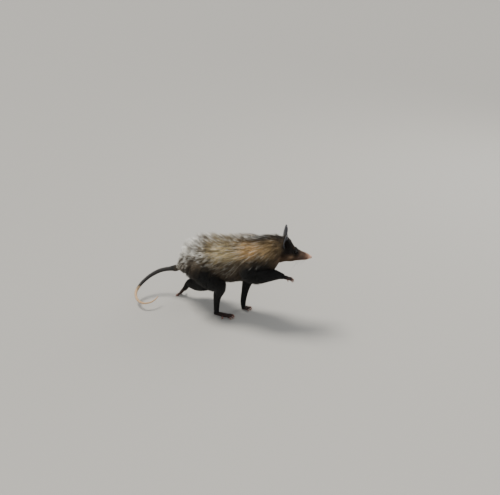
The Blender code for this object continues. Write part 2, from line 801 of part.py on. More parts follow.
def limb_locks(rows, start, end, draw):
    """The shorter locks of a thigh, an upper arm or the tail's root, lying back and down."""
    found = []
    at = start
    number = 0
    while at < end:
        (forward, left, up), row = carried_axes(rows, [0.0, at])[1], spline(rows, at)
        count = max(5, round(2 * math.pi * row[3] / LEG_LOCK_SPACING))
        for j in range(count):
            angle = 2 * math.pi * (j + 0.5 * (number % 2) + draw.uniform(-0.12, 0.12)) / count
            normal = left * math.cos(angle) + up * math.sin(angle)
            lay = LEG_LIE + forward * draw.uniform(0.0, 0.4)
            lay = (lay - normal * lay.dot(normal)).normalized()
            height = LEG_DEPTH + LEG_TIP_OVER * draw.uniform(0.7, 1.4)
            width = LEG_LOCK_WIDTH * draw.uniform(0.85, 1.1)
            root = Vector(row[:3]) + normal * row[3]
            found.append(Lock(root, normal, lay, height / math.sin(LIE_ANGLE), height, width))
        at += LEG_LOCK_SPACING / speed(rows, at)
        number += 1
    return found


def speed(rows, at):
    """How many centimetres the row runs for each step along it."""
    return (Vector(rows_at(rows, at + 0.1)) - Vector(rows_at(rows, at - 0.1))).length / 0.2


def grown(thing, growth, others, look):
    """Fuses locks to the thing that they grow from, each one clear of the other nodes."""
    keep_clear = tree_of([other for other in others if other is not thing])
    pieces = [lock.made(keep_clear, look) for lock in growth]
    boolean(thing, [piece for piece in pieces if piece], "UNION", "MANIFOLD")


def tail(looks):
    """The tail in lengths that meet face to face: a furred root, then bare dark and pale lengths."""
    rows = [(x, y + MIDLINE, z, r) for x, y, z, r in TAIL]
    names = ["tail_root", "tail_upper", "tail_bend", "tail_curl", "tail_tip"]
    for number, name in enumerate(names):
        start, end = TAIL_CUTS[number], TAIL_CUTS[number + 1]
        count = max(3, round((end - start) / 0.45))
        places = [start + (end - start) * i / count for i in range(count + 1)]
        shown = looks[0] if number == 0 else looks[1] if number < 3 else looks[2]
        piece = tube(name, rows, places, shown, TAIL_SIDES, point=name == "tail_tip")
        forward = axes_along(rows, start)[0]
        if number:
            halved(piece, Vector(rows_at(rows, start)) + forward * GAP / 2, -forward)
        else:
            spine_way = spine_axes(spine_rows(), TAIL_CUT)[0]
            halved(piece, Vector(spine_rows()[0][:3]) - spine_way * GAP / 2, spine_way)
        if name != "tail_tip":
            forward = axes_along(rows, end)[0]
            halved(piece, Vector(rows_at(rows, end)) - forward * GAP / 2, forward)


def rows_at(rows, at):
    """The centre of a row of rings at this place."""
    return spline(rows, at)[:3]


def main():
    """Builds every node, then grows the coat on the ones that carry it."""
    fur = PARTS_LOOKS["fur"]
    dark = PARTS_LOOKS["dark"]
    head(PARTS_LOOKS["face"], PARTS_LOOKS["nose"])
    for side, name in ((1, "ear_left"), (-1, "ear_right")):
        boolean(ear(name, side, dark), [grown_head()], "DIFFERENCE")
    limbs = [leg(leg_name, foot_name, (dark, PARTS_LOOKS["claw"])) for leg_name, foot_name in zip(LEGS, FEET)]
    tail((fur, dark, PARTS_LOOKS["pale"]))
    torso = trunk("torso", TAIL_CUT, NECK_CUT, fur)
    neck = trunk("neck", NECK_CUT, HEAD_CUT, fur)
    nodes = list(PARTS.objects)
    draw = random.Random(7)
    for limb in limbs:
        growth = limb_locks(leg_rows(limb.name), 0.4, LEG_BENDS[limb.name] - 0.35, draw)
        grown(limb, growth, nodes, dark)
    grown(torso, body_locks(TAIL_CUT + 0.1, NECK_CUT - 0.2, draw), nodes, fur)
    grown(neck, body_locks(NECK_CUT + 0.12, HEAD_CUT - 0.2, draw), nodes, fur)
    for thing in PARTS.objects:
        thing.data.shade_smooth()
        thing.data.set_sharp_from_angle(angle=math.radians(50))


def clear_scene():
    """Removes what the scene holds."""
    for thing in list(bpy.data.objects):
        bpy.data.objects.remove(thing)


clear_scene()
PARTS = bpy.data.collections.new("opossum")
bpy.context.scene.collection.children.link(PARTS)
PARTS_LOOKS = {
    "fur": material("guard_fur", "#8B8375", 0.85),
    "face": material("face_fur", "#3A2A1E", 0.8),
    "dark": material("leg_fur", "#15130F", 0.8),
    "nose": material("nose_skin", "#D9A98C", 0.5),
    "claw": material("claw", "#C9B79B", 0.4),
    "pale": material("tail_skin", "#D8B48A", 0.6),
}
main()
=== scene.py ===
"""The look of a walking big-eared opossum: skin, coat, bare parts, camera and light over its solids.

Tables are in centimetres, in the part's own frame: +X is the way the animal walks, +Y its left and +Z up.
The origin is on the floor under the right hind foot. Meshes are made in metres.
"""

import logging
import math
from dataclasses import dataclass, field
from enum import Enum

import bpy
import numpy as np
from mathutils import Matrix, Vector
from mathutils.kdtree import KDTree


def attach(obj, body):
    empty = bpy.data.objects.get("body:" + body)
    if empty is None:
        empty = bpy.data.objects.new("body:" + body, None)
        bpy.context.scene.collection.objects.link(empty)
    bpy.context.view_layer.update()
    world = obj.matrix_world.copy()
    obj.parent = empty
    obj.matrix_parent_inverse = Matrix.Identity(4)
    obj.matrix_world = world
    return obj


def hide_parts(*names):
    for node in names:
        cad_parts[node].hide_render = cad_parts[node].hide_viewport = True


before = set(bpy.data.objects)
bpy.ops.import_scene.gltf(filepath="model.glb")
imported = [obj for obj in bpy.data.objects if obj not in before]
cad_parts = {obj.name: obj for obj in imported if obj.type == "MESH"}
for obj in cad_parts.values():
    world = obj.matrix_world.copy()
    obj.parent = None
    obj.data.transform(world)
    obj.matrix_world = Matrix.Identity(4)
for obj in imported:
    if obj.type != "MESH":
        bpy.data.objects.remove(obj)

LOG = logging.getLogger("opossum")
CM = 0.01
MIDLINE = 3.0
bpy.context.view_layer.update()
Array = np.ndarray


class Side(Enum):
    """The animal's left and right, as the sign of the way out."""

    LEFT = 1
    RIGHT = -1


class Zone(Enum):
    """The zones of the coat. Each is one piece."""

    BACK = "coat_back"
    FLANK_RIGHT = "coat_flank_right"
    FLANK_LEFT = "coat_flank_left"
    BELLY = "coat_belly"
    NECK = "coat_neck"
    HEAD = "coat_head"
    HIND_LEGS = "coat_hind_legs"
    FORELEGS = "coat_forelegs"
    FEET = "coat_feet"
    TAIL = "coat_tail"


# ---- numbers of the animal, repeated from its solids ----
NOSE_TIP = np.array((22.6, 7.6, 18.1))
HEAD_TURN = math.radians(22.0)
HEAD_DROP = math.radians(15.5)
NECK_CUT = 7.0
HEAD_CUT = 8.4
TURNED = 9.0
EYE_BACK = 4.5
EYE_OUT = 1.12
EYE_UP = 0.78
EYE_RADIUS = 0.46


def unit(vectors: Array) -> Array:
    """The vectors at length one."""
    return vectors / np.maximum(np.linalg.norm(vectors, axis=-1, keepdims=True), 1e-9)


def head_axis() -> Array:
    """The way the nose points."""
    flat = math.cos(HEAD_DROP)
    return np.array((flat * math.cos(HEAD_TURN), flat * math.sin(HEAD_TURN), -math.sin(HEAD_DROP)))


def head_row(back: float, wide: float, up: float, down: float) -> tuple[float, ...]:
    """A section across the head, so far back from the tip of the nose."""
    centre = NOSE_TIP - head_axis() * back
    return (centre[0], centre[1] - MIDLINE, centre[2], wide, up, down, 0.0)


# Each row: x, y from the midline, z, then the fur's radius to the side, up and down, and the crest's height
SPINE_ROWS = (
    (-13.2, 2.2, 10.6, 2.1, 2.1, 2.1, 0.8),
    (-10.6, 1.1, 11.7, 3.7, 3.9, 3.8, 2.1),
    (-7.6, 0.3, 12.6, 4.7, 5.0, 4.9, 3.0),
    (-3.6, 0.0, 13.8, 4.9, 5.5, 5.3, 2.8),
    (0.0, 0.0, 14.8, 4.9, 5.7, 5.6, 2.3),
    (4.5, 0.0, 15.9, 4.8, 5.7, 5.6, 1.9),
    (9.0, 0.1, 16.9, 4.7, 5.7, 5.4, 1.4),
    (11.8, 0.45, 18.1, 4.2, 5.2, 4.3, 1.0),
    (13.9, 1.05, 19.1, 3.6, 4.8, 3.7, 0.6),
    head_row(7.4, 2.95, 3.6, 3.0),
    head_row(6.2, 2.7, 2.9, 2.8),
    head_row(5.3, 2.2, 2.05, 2.5),
    head_row(4.4, 1.7, 1.4, 2.2),
    head_row(3.0, 1.2, 0.95, 1.65),
    head_row(1.6, 0.93, 0.75, 1.15),
    head_row(0.7, 0.72, 0.6, 0.8),
    head_row(0.1, 0.5, 0.45, 0.55),
)
# How deep the fur lies over the skin at each row of the spine
SPINE_DEPTHS = (0.8, 1.1, 1.2, 1.2, 1.2, 1.2, 1.2, 1.15, 1.0, 0.72, 0.55, 0.36, 0.2, 0.14, 0.09, 0.05, 0.03)
LEG_ROWS = {
    "hind_leg_right": (
        (-6.6, -2.2, 13.0, 3.2),
        (-3.9, -3.2, 11.6, 3.3),
        (-1.1, -3.6, 9.9, 2.5),
        (-0.1, -3.5, 8.2, 1.65),
        (-0.7, -3.3, 6.2, 1.2),
        (-1.1, -3.15, 4.3, 0.9),
        (-1.25, -3.05, 2.6, 0.78),
        (-1.35, -3.0, 1.4, 0.72),
        (-1.2, -3.0, 0.55, 0.55),
    ),
    "hind_leg_left": (
        (-5.8, 2.3, 12.8, 3.2),
        (-6.0, 3.3, 9.6, 3.1),
        (-7.0, 3.6, 6.4, 2.6),
        (-9.7, 3.5, 5.0, 2.2),
        (-12.1, 3.25, 4.6, 1.4),
        (-13.2, 3.25, 3.9, 0.85),
        (-14.1, 3.35, 2.5, 0.68),
    ),
    "foreleg_left": (
        (9.6, 2.2, 15.6, 2.6),
        (7.8, 3.1, 12.2, 2.3),
        (5.6, 3.3, 9.3, 1.6),
        (4.8, 3.2, 7.0, 1.15),
        (4.3, 3.1, 4.6, 0.9),
        (4.0, 3.0, 2.6, 0.78),
        (3.95, 3.0, 1.4, 0.7),
        (4.0, 3.0, 0.6, 0.6),
    ),
    "foreleg_right": (
        (8.6, -2.0, 16.8, 2.8),
        (8.6, -3.2, 15.0, 2.6),
        (10.5, -3.5, 14.2, 2.2),
        (12.8, -3.0, 14.3, 1.75),
        (14.9, -2.3, 14.5, 1.35),
        (16.3, -1.75, 14.4, 0.95),
        (17.3, -1.35, 14.1, 0.7),
    ),
}
LEG_DEPTHS = {
    "hind_leg_right": (0.6, 0.6, 0.5, 0.32, 0.24, 0.18, 0.1, 0.06, 0.03),
    "hind_leg_left": (0.6, 0.6, 0.5, 0.4, 0.26, 0.14, 0.07),
    "foreleg_left": (0.6, 0.55, 0.35, 0.25, 0.2, 0.12, 0.07, 0.03),
    "foreleg_right": (0.6, 0.6, 0.45, 0.3, 0.22, 0.12, 0.07),
}
LEG_HINTS = {
    "hind_leg_right": (1.0, 0.0, 1.0),
    "hind_leg_left": (1.0, 0.0, 1.0),
    "foreleg_left": (1.0, 0.0, 0.0),
    "foreleg_right": (0.3, 0.0, 1.0),
}
TAIL_ROWS = (
    (-12.5, 1.9, 11.0, 2.1),
    (-14.4, 2.7, 9.8, 1.15),
    (-16.2, 3.3, 8.7, 0.68),
    (-18.3, 3.65, 7.85, 0.62),
    (-20.6, 3.75, 7.1, 0.6),
    (-22.6, 3.2, 6.3, 0.58),
    (-24.5, 1.5, 5.1, 0.52),
    (-25.7, -1.2, 3.7, 0.45),
    (-25.6, -4.2, 2.6, 0.38),
    (-23.7, -6.9, 2.0, 0.32),
    (-21.3, -8.1, 1.85, 0.27),
    (-19.5, -7.2, 1.95, 0.22),
    (-18.8, -5.5, 2.25, 0.17),
    (-18.7, -3.9, 2.6, 0.1),
)
TAIL_DEPTHS = (0.8, 0.35, 0.06, 0.01) + (0.0,) * 10
# Each foot: the middle of its palm, the way it points and its tilt, and whether it is a hind and a left one
FEET = {
    "hind_foot_right": ((0.9, -3.0, 0.36), 0.0, 0.0, True, False),
    "hind_foot_left": ((-15.15, 3.45, 1.35), 176.0, 52.0, True, True),
    "forefoot_left": ((4.35, 3.0, 0.34), 8.0, 0.0, False, True),
    "forefoot_right": ((18.05, -1.05, 13.75), 22.0, 16.0, False, False),
}


def spline(rows: Array, places: Array) -> Array:
    """The rows' numbers at these places between them, on a smooth curve through them."""
    last = len(rows) - 1
    places = np.clip(np.asarray(places, float), 0.0, last)
    first = np.minimum(places.astype(int), last - 1)
    t = (places - first)[..., None]
    a, b, c, d = (rows[np.clip(first + step, 0, last)] for step in (-1, 0, 1, 2))
    return 0.5 * (2 * b + (c - a) * t + (2 * a - 5 * b + 4 * c - d) * t**2 + (3 * b - a - 3 * c + d) * t**3)


def smooth(low: float, high: float, values: Array) -> Array:
    """A smooth step from 0 at low to 1 at high."""
    t = np.clip((np.asarray(values, float) - low) / (high - low), 0.0, 1.0)
    return t * t * (3 - 2 * t)


@dataclass(frozen=True)
class Course:
    """A limb as a smooth course of sections, with the fur's depth at each row.

    Attributes:
        name: what the course is.
        rows: x, y, z, then the radius to the side, up and down, and the crest, in centimetres.
        depths: how deep the fur is at each row.
        hint: a direction that its sections' up side leans to.
        reach: over how much of a step its direction is read.
    """

    name: str
    rows: Array
    depths: tuple[float, ...]
    hint: tuple[float, float, float] = (0.0, 0.0, 1.0)
    reach: float = 0.3

    @property
    def last(self) -> float:
        """The place of the last row."""
        return len(self.rows) - 1.0

    def at(self, places: Array) -> Array:
        """The sections' numbers at these places."""
        return spline(self.rows, places)

    def depth(self, places: Array) -> Array:
        """The fur's depth at these places."""
        return spline(np.array(self.depths)[:, None], places)[..., 0]

    def forward(self, places: Array) -> Array:
        """The way the course runs."""
        ahead = self.at(np.asarray(places) + self.reach)[..., :3]
        return unit(ahead - self.at(np.asarray(places) - self.reach)[..., :3])

    def axes(self, places: Array) -> tuple[Array, Array, Array]:
        """The directions forward, left and up of the sections."""
        forward = self.forward(places)
        left = unit(np.cross(np.array(self.hint), forward))
        return forward, left, np.cross(forward, left)

    def ring(self, place: float, sides: int) -> Array:
        """The skin's points round one section."""
        row = self.at(place)
        _, left, up = self.axes(place)
        angles = np.arange(sides) * 2 * math.pi / sides
        across, rise = np.cos(angles), np.sin(angles)
        depth = self.skin_depth(place, angles)
        high = np.where(rise > 0, row[4], row[5])
        wide = (row[3] - depth) * across
        tall = (high - depth) * rise
        return row[:3] + left * wide[:, None] + up * tall[:, None]

    def skin_depth(self, places: Array, angles: Array) -> Array:
        """How far the skin lies under the fur, less on the belly."""
        return self.depth(places) * (1 - 0.3 * smooth(0.3, 0.9, -np.sin(angles)))


@dataclass(frozen=True)
class SpineCourse(Course):
    """The body from the tail to the nose. Its sections turn towards the head's along the neck."""

    def forward(self, places: Array) -> Array:
        """The way the body runs, turned to the head's axis in front of the neck."""
        body = super().forward(np.minimum(places, NECK_CUT))
        share = smooth(NECK_CUT, TURNED, places)[..., None]
        return unit(body * (1 - share) + head_axis() * share)


def limb_course(name: str, rows: tuple, depths: tuple, hint: tuple, spine: bool = False) -> Course:
    """A course from a table of round sections, or of the spine's egg-shaped ones.

    Args:
        name: what the course is.
        rows: the table, with y from the midline.
        depths: how deep the fur is at each row.
        hint: a direction that its sections' up side leans to.
        spine: whether the rows are the spine's.

    Returns:
        The course, in the part's frame.
    """
    if spine:
        table = np.array([(r[0], r[1] + MIDLINE, *r[2:]) for r in rows])
        return SpineCourse(name, table, depths, hint, 1.2)
    table = np.array([(x, y + MIDLINE, z, r, r, r, 0.0) for x, y, z, r in rows])
    return Course(name, table, depths, hint)


# A foot from its heel to the tips of its digits: how far along from its middle, half its width and height
HIND_FOOT_RUN = ((-2.6, 0.5, 0.5), (-1.2, 0.62, 0.55), (0.3, 0.95, 0.55), (1.8, 1.15, 0.5), (3.1, 1.1, 0.45))
FOREFOOT_RUN = ((-0.8, 0.55, 0.5), (0.0, 0.75, 0.5), (0.9, 1.05, 0.5), (1.9, 1.3, 0.5))


def foot_axes(turn: float, tilt: float) -> tuple[Array, Array, Array]:
    """A foot's forward, left and up directions from its turn and its tilt, in degrees."""
    turn, tilt = math.radians(turn), math.radians(tilt)
    level = np.array((math.cos(turn), math.sin(turn), 0.0))
    left = np.cross((0.0, 0.0, 1.0), level)
    forward = level * math.cos(tilt) - np.array((0.0, 0.0, 1.0)) * math.sin(tilt)
    return forward, left, np.cross(forward, left)


def foot_course(name: str) -> Course:
    """A foot as a course from its heel to the tips of its digits."""
    (x, y, z), turn, tilt, hind, _ = FEET[name]
    forward, _, up = foot_axes(turn, tilt)
    centre = np.array((x, y + MIDLINE, z))
    rows = HIND_FOOT_RUN if hind else FOREFOOT_RUN
    table = [(*(centre + forward * along), wide, high, high, 0.0) for along, wide, high in rows]
    return Course(name, np.array(table), (0.03,) * len(rows), tuple(up))


SPINE = limb_course("spine", SPINE_ROWS, SPINE_DEPTHS, (0.0, 0.0, 1.0), spine=True)
LEGS = [limb_course(name, rows, LEG_DEPTHS[name], LEG_HINTS[name]) for name, rows in LEG_ROWS.items()]
TAIL = limb_course("tail", TAIL_ROWS, TAIL_DEPTHS, (0.0, 0.0, 1.0))
FOOT_COURSES = [foot_course(name) for name in FEET]
COURSES = [SPINE, *LEGS, TAIL, *FOOT_COURSES]
SPINE_NUMBER = 0
TAIL_NUMBER = 5


# ---- meshes ----
def deselect() -> None:
    """Deselects everything, so that an operator acts on one new piece."""
    bpy.ops.object.select_all(action="DESELECT")


def select(thing: bpy.types.Object) -> None:
    """Makes one object the only selected one and the active one."""
    deselect()
    thing.select_set(True)
    bpy.context.view_layer.objects.active = thing


def apply_modifier(thing: bpy.types.Object, kind: str, **settings: object) -> None:
    """Adds one modifier with its settings and applies it."""
    select(thing)
    change = thing.modifiers.new(kind.lower(), kind)
    for name, value in settings.items():
        setattr(change, name, value)
    bpy.ops.object.modifier_apply(modifier=change.name)


def mesh_object(name: str, points: Array, faces: list | Array) -> bpy.types.Object:
    """An object from points in centimetres and faces of any size."""
    mesh = bpy.data.meshes.new(name)
    if isinstance(faces, np.ndarray):
        fill_triangles(mesh, np.asarray(points, np.float32) * CM, faces)
    else:
        mesh.from_pydata((np.asarray(points) * CM).tolist(), [], faces)
    found = bpy.data.objects.new(name, mesh)
    bpy.context.scene.collection.objects.link(found)
    return found


def fill_triangles(mesh: bpy.types.Mesh, points: Array, triangles: Array) -> None:
    """Fills an empty mesh with points in metres and triangles, quickly."""
    mesh.vertices.add(len(points))
    mesh.vertices.foreach_set("co", points.astype(np.float32).ravel())
    mesh.loops.add(triangles.size)
    mesh.loops.foreach_set("vertex_index", triangles.astype(np.int32).ravel())
    mesh.polygons.add(len(triangles))
    mesh.polygons.foreach_set("loop_start", np.arange(0, triangles.size, 3, dtype=np.int32))
    mesh.update(calc_edges=True)
    mesh.validate()


def points_of(thing: bpy.types.Object) -> Array:
    """A mesh's points, in centimetres."""
    found = np.empty(len(thing.data.vertices) * 3, np.float32)
    thing.data.vertices.foreach_get("co", found)
    return found.reshape(-1, 3).astype(float) / CM


def normals_of(thing: bpy.types.Object) -> Array:
    """A mesh's normals at its points."""
    found = np.empty(len(thing.data.vertices) * 3, np.float32)
    thing.data.vertices.foreach_get("normal", found)
    return found.reshape(-1, 3).astype(float)


def set_points(thing: bpy.types.Object, points: Array) -> None:
    """Moves a mesh's points to these places, in centimetres."""
    thing.data.vertices.foreach_set("co", (points * CM).astype(np.float32).ravel())
    thing.data.update()


def set_attribute(thing: bpy.types.Object, name: str, kind: str, values: Array) -> None:
    """Writes one number, vector or colour for each point of a mesh."""
    made = thing.data.attributes.new(name, kind, "POINT")
    fields = {"FLOAT": "value", "FLOAT_VECTOR": "vector", "FLOAT_COLOR": "color"}
    made.data.foreach_set(fields[kind], np.ascontiguousarray(values, np.float32).ravel())


def weigh(thing: bpy.types.Object, name: str, mask: Array) -> None:
    """Makes a vertex group of the points where the mask holds."""
    group = thing.vertex_groups.new(name=name)
    group.add(np.flatnonzero(mask).tolist(), 1.0, "REPLACE")


def tube_faces(rings: int, sides: int) -> list[list[int]]:
    """The quads between rings of points, and a flat face on each end."""
    faces = [list(range(sides))[::-1]]
    for i in range(rings - 1):
        for j in range(sides):
            a, b = i * sides + j, i * sides + (j + 1) % sides
            faces.append([a, b, b + sides, a + sides])
    faces.append([(rings - 1) * sides + j for j in range(sides)])
    return faces


def lofted(name: str, rings: list[Array]) -> bpy.types.Object:
    """A closed solid through rings of points."""
    return mesh_object(name, np.concatenate(rings), tube_faces(len(rings), len(rings[0])))


def finger_rings(rows: Array, sides: int = 10) -> list[Array]:
    """Round rings through rows of x, y, z and radius, with a rounded end."""
    course = Course("finger", np.array([(*r[:3], r[3], r[3], r[3], 0.0) for r in rows]), (0.0,) * len(rows))
    places = np.linspace(0.0, course.last, 3 * len(rows))
    flat = abs(course.forward(1.0)[2]) < 0.85
    course = Course("finger", course.rows, course.depths, (0.0, 0.0, 1.0) if flat else (1.0, 0.0, 0.0))
    rings = [course.ring(place, sides) for place in places]
    tip, forward = course.at(course.last), course.forward(course.last)
    for ahead, share in ((0.5, 0.86), (0.85, 0.5)):
        centre = tip[:3] + forward * tip[3] * ahead
        rings.append(centre + (rings[len(places) - 1] - tip[:3]) * share)
    return rings


def join(name: str, things: list[bpy.types.Object]) -> bpy.types.Object:
    """Joins objects into the first one."""
    select(things[0])
    for thing in things:
        thing.select_set(True)
    bpy.ops.object.join()
    joined = bpy.context.view_layer.objects.active
    joined.name = name
    joined.data.name = name
    return joined


# ---- feet ----
@dataclass(frozen=True)
class Digit:
    """One toe or finger.

    Attributes:
        out: where it starts across the palm, towards the inner side.
        angle: the way it spreads, in degrees.
        length: its length.
        radius: its radius.
        claw: the claw's length, or 0 for none.
        back: how far behind the middle of the palm it starts.
    """

    out: float
    angle: float
    length: float
    radius: float
    claw: float
    back: float


@dataclass(frozen=True)
class FootShape:
    """A foot's sole and digits in its own frame, the same as its solid's."""

    sole: tuple[tuple[float, float, float], ...]
    digits: tuple[Digit, ...]


HIND_FOOT = FootShape(
    sole=((-2.9, 0.42, 0.42), (-2.2, 0.55, 0.55), (-0.9, 0.6, 0.5), (0.2, 0.85, 0.46), (0.9, 0.85, 0.4)),
    digits=(
        Digit(-0.64, -14, 1.75, 0.2, 0.5, 0.75),
        Digit(-0.23, -4, 2.15, 0.2, 0.5, 0.75),
        Digit(0.21, 6, 2.2, 0.2, 0.5, 0.75),
        Digit(0.62, 17, 1.95, 0.2, 0.5, 0.75),
        Digit(0.5, 62, 1.5, 0.28, 0.0, -0.35),
    ),
)
FOREFOOT = FootShape(
    sole=((-0.75, 0.52, 0.5), (-0.3, 0.68, 0.52), (0.25, 0.76, 0.44), (0.6, 0.7, 0.38)),
    digits=(
        Digit(-0.52, -34, 1.25, 0.175, 0.42, 0.45),
        Digit(-0.18, -11, 1.5, 0.175, 0.42, 0.45),
        Digit(0.18, 9, 1.55, 0.175, 0.42, 0.45),
        Digit(0.5, 30, 1.35, 0.175, 0.42, 0.45),
        Digit(0.5, 62, 1.05, 0.17, 0.36, -0.1),
    ),
)


@dataclass
class FootBuilder:
    """Builds one foot's flesh and the frames of its claws.

    Attributes:
        name: the solid's name.
        claws: each claw's root, direction, up side and length, found while building.
        toes: each digit's tip, for its bare skin's colour.
    """

    name: str
    claws: list[tuple[Array, Array, Array, float]] = field(default_factory=list)
    toes: list[Array] = field(default_factory=list)

    def build(self) -> list[bpy.types.Object]:
        """Makes the palm, the digits and their pads, each a closed solid that the skin takes in."""
        (x, y, z), turn, tilt, hind, left_foot = FEET[self.name]
        shape = HIND_FOOT if hind else FOREFOOT
        forward, left, up = foot_axes(turn, tilt)
        inner = left if left_foot == (abs(turn) < 90) else -left
        centre = np.array((x, y + MIDLINE, z))
        sole = shape.sole[1:] if tilt > 30 else shape.sole
        rings = []
        for along, wide, high in sole:
            angles = np.arange(16) * 2 * math.pi / 16
            flat = np.where(np.sin(angles) < 0, 0.9, 1.0)
            ring = left * (wide * np.cos(angles))[:, None] + up * (high * flat * np.sin(angles))[:, None]
            rings.append(centre + forward * along + ring)
        made = [lofted("palm", rings)]
        for digit in shape.digits:
            made += self.digit(digit, centre, forward, inner, up)
        made += self.pads(hind, centre, forward, inner, up)
        return made

    def digit(self, digit: Digit, centre: Array, forward: Array, inner: Array, up: Array) -> list:
        """One digit, bent at its knuckle, with its pad under the tip.

        Args:
            digit: its sizes.
            centre: the middle of the palm.
            forward: the way the foot points.
            inner: the foot's inner side.
            up: the back of the foot.

        Returns:
            Its closed solids.
        """
        spread = math.radians(digit.angle)
        way = forward * math.cos(spread) + inner * math.sin(spread)
        start = centre + forward * digit.back + inner * digit.out - up * 0.12
        arch = up * digit.length * 0.1
        r = digit.radius
        rows = [
            (*(start - way * 0.35), r),
            (*(start + way * digit.length * 0.2 + arch * 0.8), r * 0.98),
            (*(start + way * digit.length * 0.38 + arch), r * 1.08),
            (*(start + way * digit.length * 0.56 + arch * 0.9), r * 0.86),
            (*(start + way * digit.length * 0.74 + arch * 0.8), r * 0.9),
            (*(start + way * digit.length * 0.94), r * 0.8),
        ]
        rows = np.array(rows)
        tip = start + way * digit.length
        if tip[2] < r:
            # The toe bends where it meets the floor and lies flat on it.
            rows[:, 2] = np.maximum(rows[:, 2], r)
            tip = np.array((tip[0], tip[1], r))
            way = unit(way * (1.0, 1.0, 0.0))
            up = np.array((0.0, 0.0, 1.0))
        made = [lofted("digit", finger_rings(rows))]
        made.append(ball("pad", tip - way * 0.12 - up * r * 0.25, r * 0.95))
        if digit.claw:
            self.claws.append((tip - way * 0.06 + up * r * 0.35, way, up, digit.claw))
        self.toes.append(tip)
        return made

    def pads(self, hind: bool, centre: Array, forward: Array, inner: Array, up: Array) -> list:
        """The pads under the palm, at the roots of the digits."""
        made = []
        reach, width = (0.75, 0.45) if hind else (0.45, 0.36)
        for out in (-1.0, -0.33, 0.33, 1.0):
            at = centre + forward * reach * (1 - 0.25 * out * out) + inner * width * out - up * 0.2
            made.append(ball("pad", at, 0.17))
        return made


def ball(name: str, centre: Array, radius: float) -> bpy.types.Object:
    """A small ball of flesh."""
    deselect()
    bpy.ops.mesh.primitive_ico_sphere_add(subdivisions=3, radius=radius * CM, location=Vector(centre) * CM)
    found = bpy.context.object
    found.name = name
    bpy.ops.object.transform_apply(location=True, rotation=True, scale=True)
    return found


# ---- the places on the body ----
@dataclass
class Places:
    """Where points lie on the animal: the nearest course, the place along it and the angle round it.

    Attributes:
        points: the points, in centimetres.
        course: the nearest course's number.
        place: the place along it.
        angle: the angle round it, from its left side up.
        shares: how much each course counts at the point.
        near: the place along each course.
        round_spine: the angle round the spine.
    """

    points: Array
    course: Array
    place: Array
    angle: Array
    shares: Array
    near: Array
    round_spine: Array

    @classmethod
    def of(cls, points: Array) -> "Places":
        """Finds the places of many points at once."""
        count = len(points)
        ratios = np.empty((count, len(COURSES)))
        near = np.empty((count, len(COURSES)))
        for number, course in enumerate(COURSES):
            samples = np.linspace(0.0, course.last, int(course.last * 10) + 1)
            rows = course.at(samples)
            radii = np.maximum(rows[:, 3:6].mean(axis=1), 0.15)
            for start in range(0, count, 20000):
                part = slice(start, start + 20000)
                apart = np.linalg.norm(points[part, None, :] - rows[None, :, :3], axis=2)
                apart = apart / radii + 0.5 * np.maximum(apart - 1.3 * radii, 0.0)
                best = apart.argmin(axis=1)
                ratios[part, number] = apart[np.arange(len(best)), best]
                near[part, number] = samples[best]
        for number, one in enumerate(COURSES):
            near[:, number] = cls.slid(one, points, near[:, number], 2)
        least = ratios.min(axis=1, keepdims=True)
        shares = np.exp(-9.0 * (ratios - least))
        shares /= shares.sum(axis=1, keepdims=True)
        course = ratios.argmin(axis=1)
        place = near[np.arange(count), course]
        angle = np.empty(count)
        for number, one in enumerate(COURSES):
            here = course == number
            angle[here] = cls.angles(one, points[here], place[here])
        round_spine = cls.angles(SPINE, points, near[:, SPINE_NUMBER])
        return cls(points, course, place, angle, shares, near, round_spine)

    @staticmethod
    def slid(course: Course, points: Array, places: Array, steps: int) -> Array:
        """Slides each place to where the course passes its point squarely."""
        found = places.copy()
        for _ in range(steps):
            here = course.at(found)[:, :3]
            ahead = course.at(found + 0.05)[:, :3] - course.at(found - 0.05)[:, :3]
            speed = np.linalg.norm(ahead, axis=1) / 0.1
            move = np.einsum("ij,ij->i", points - here, course.forward(found)) / np.maximum(speed, 0.3)
            found = np.clip(found + np.clip(move, -0.4, 0.4), 0.0, course.last)
        return found

    def moved(self, points: Array) -> "Places":
        """The places of the same points after a short move along the body."""
        near = self.near.copy()
        place, angle = self.place.copy(), self.angle.copy()
        for number, course in enumerate(COURSES):
            here = self.course == number
            if here.any():
                place[here] = self.slid(course, points[here], self.place[here], 4)
                angle[here] = self.angles(course, points[here], place[here])
                near[here, number] = place[here]
        near[:, SPINE_NUMBER] = self.slid(SPINE, points, near[:, SPINE_NUMBER], 3)
        round_spine = self.angles(SPINE, points, near[:, SPINE_NUMBER])
        return Places(points, self.course, place, angle, self.shares, near, round_spine)

    @staticmethod
    def angles(course: Course, points: Array, places: Array) -> Array:
        """The angles round a course, in its own egg-shaped sections."""
        rows = course.at(places)
        _, left, up = course.axes(places)
        apart = points - rows[:, :3]
        rise = np.einsum("ij,ij->i", apart, up)
        across = np.einsum("ij,ij->i", apart, left) / rows[:, 3]
        return np.arctan2(rise / np.where(rise > 0, rows[:, 4], rows[:, 5]), across)

    def is_on(self, *names: str) -> Array:
        """Which points are on the named courses."""
        wanted = [number for number, course in enumerate(COURSES) if course.name in names]
        return np.isin(self.course, wanted)


# ---- colours ----
def linear(hex_colour: str) -> tuple[float, float, float]:
    """An sRGB hex colour as linear numbers."""
    channels = [int(hex_colour[i : i + 2], 16) / 255 for i in (1, 3, 5)]
    return tuple(c / 12.92 if c <= 0.04045 else ((c + 0.055) / 1.055) ** 2.4 for c in channels)


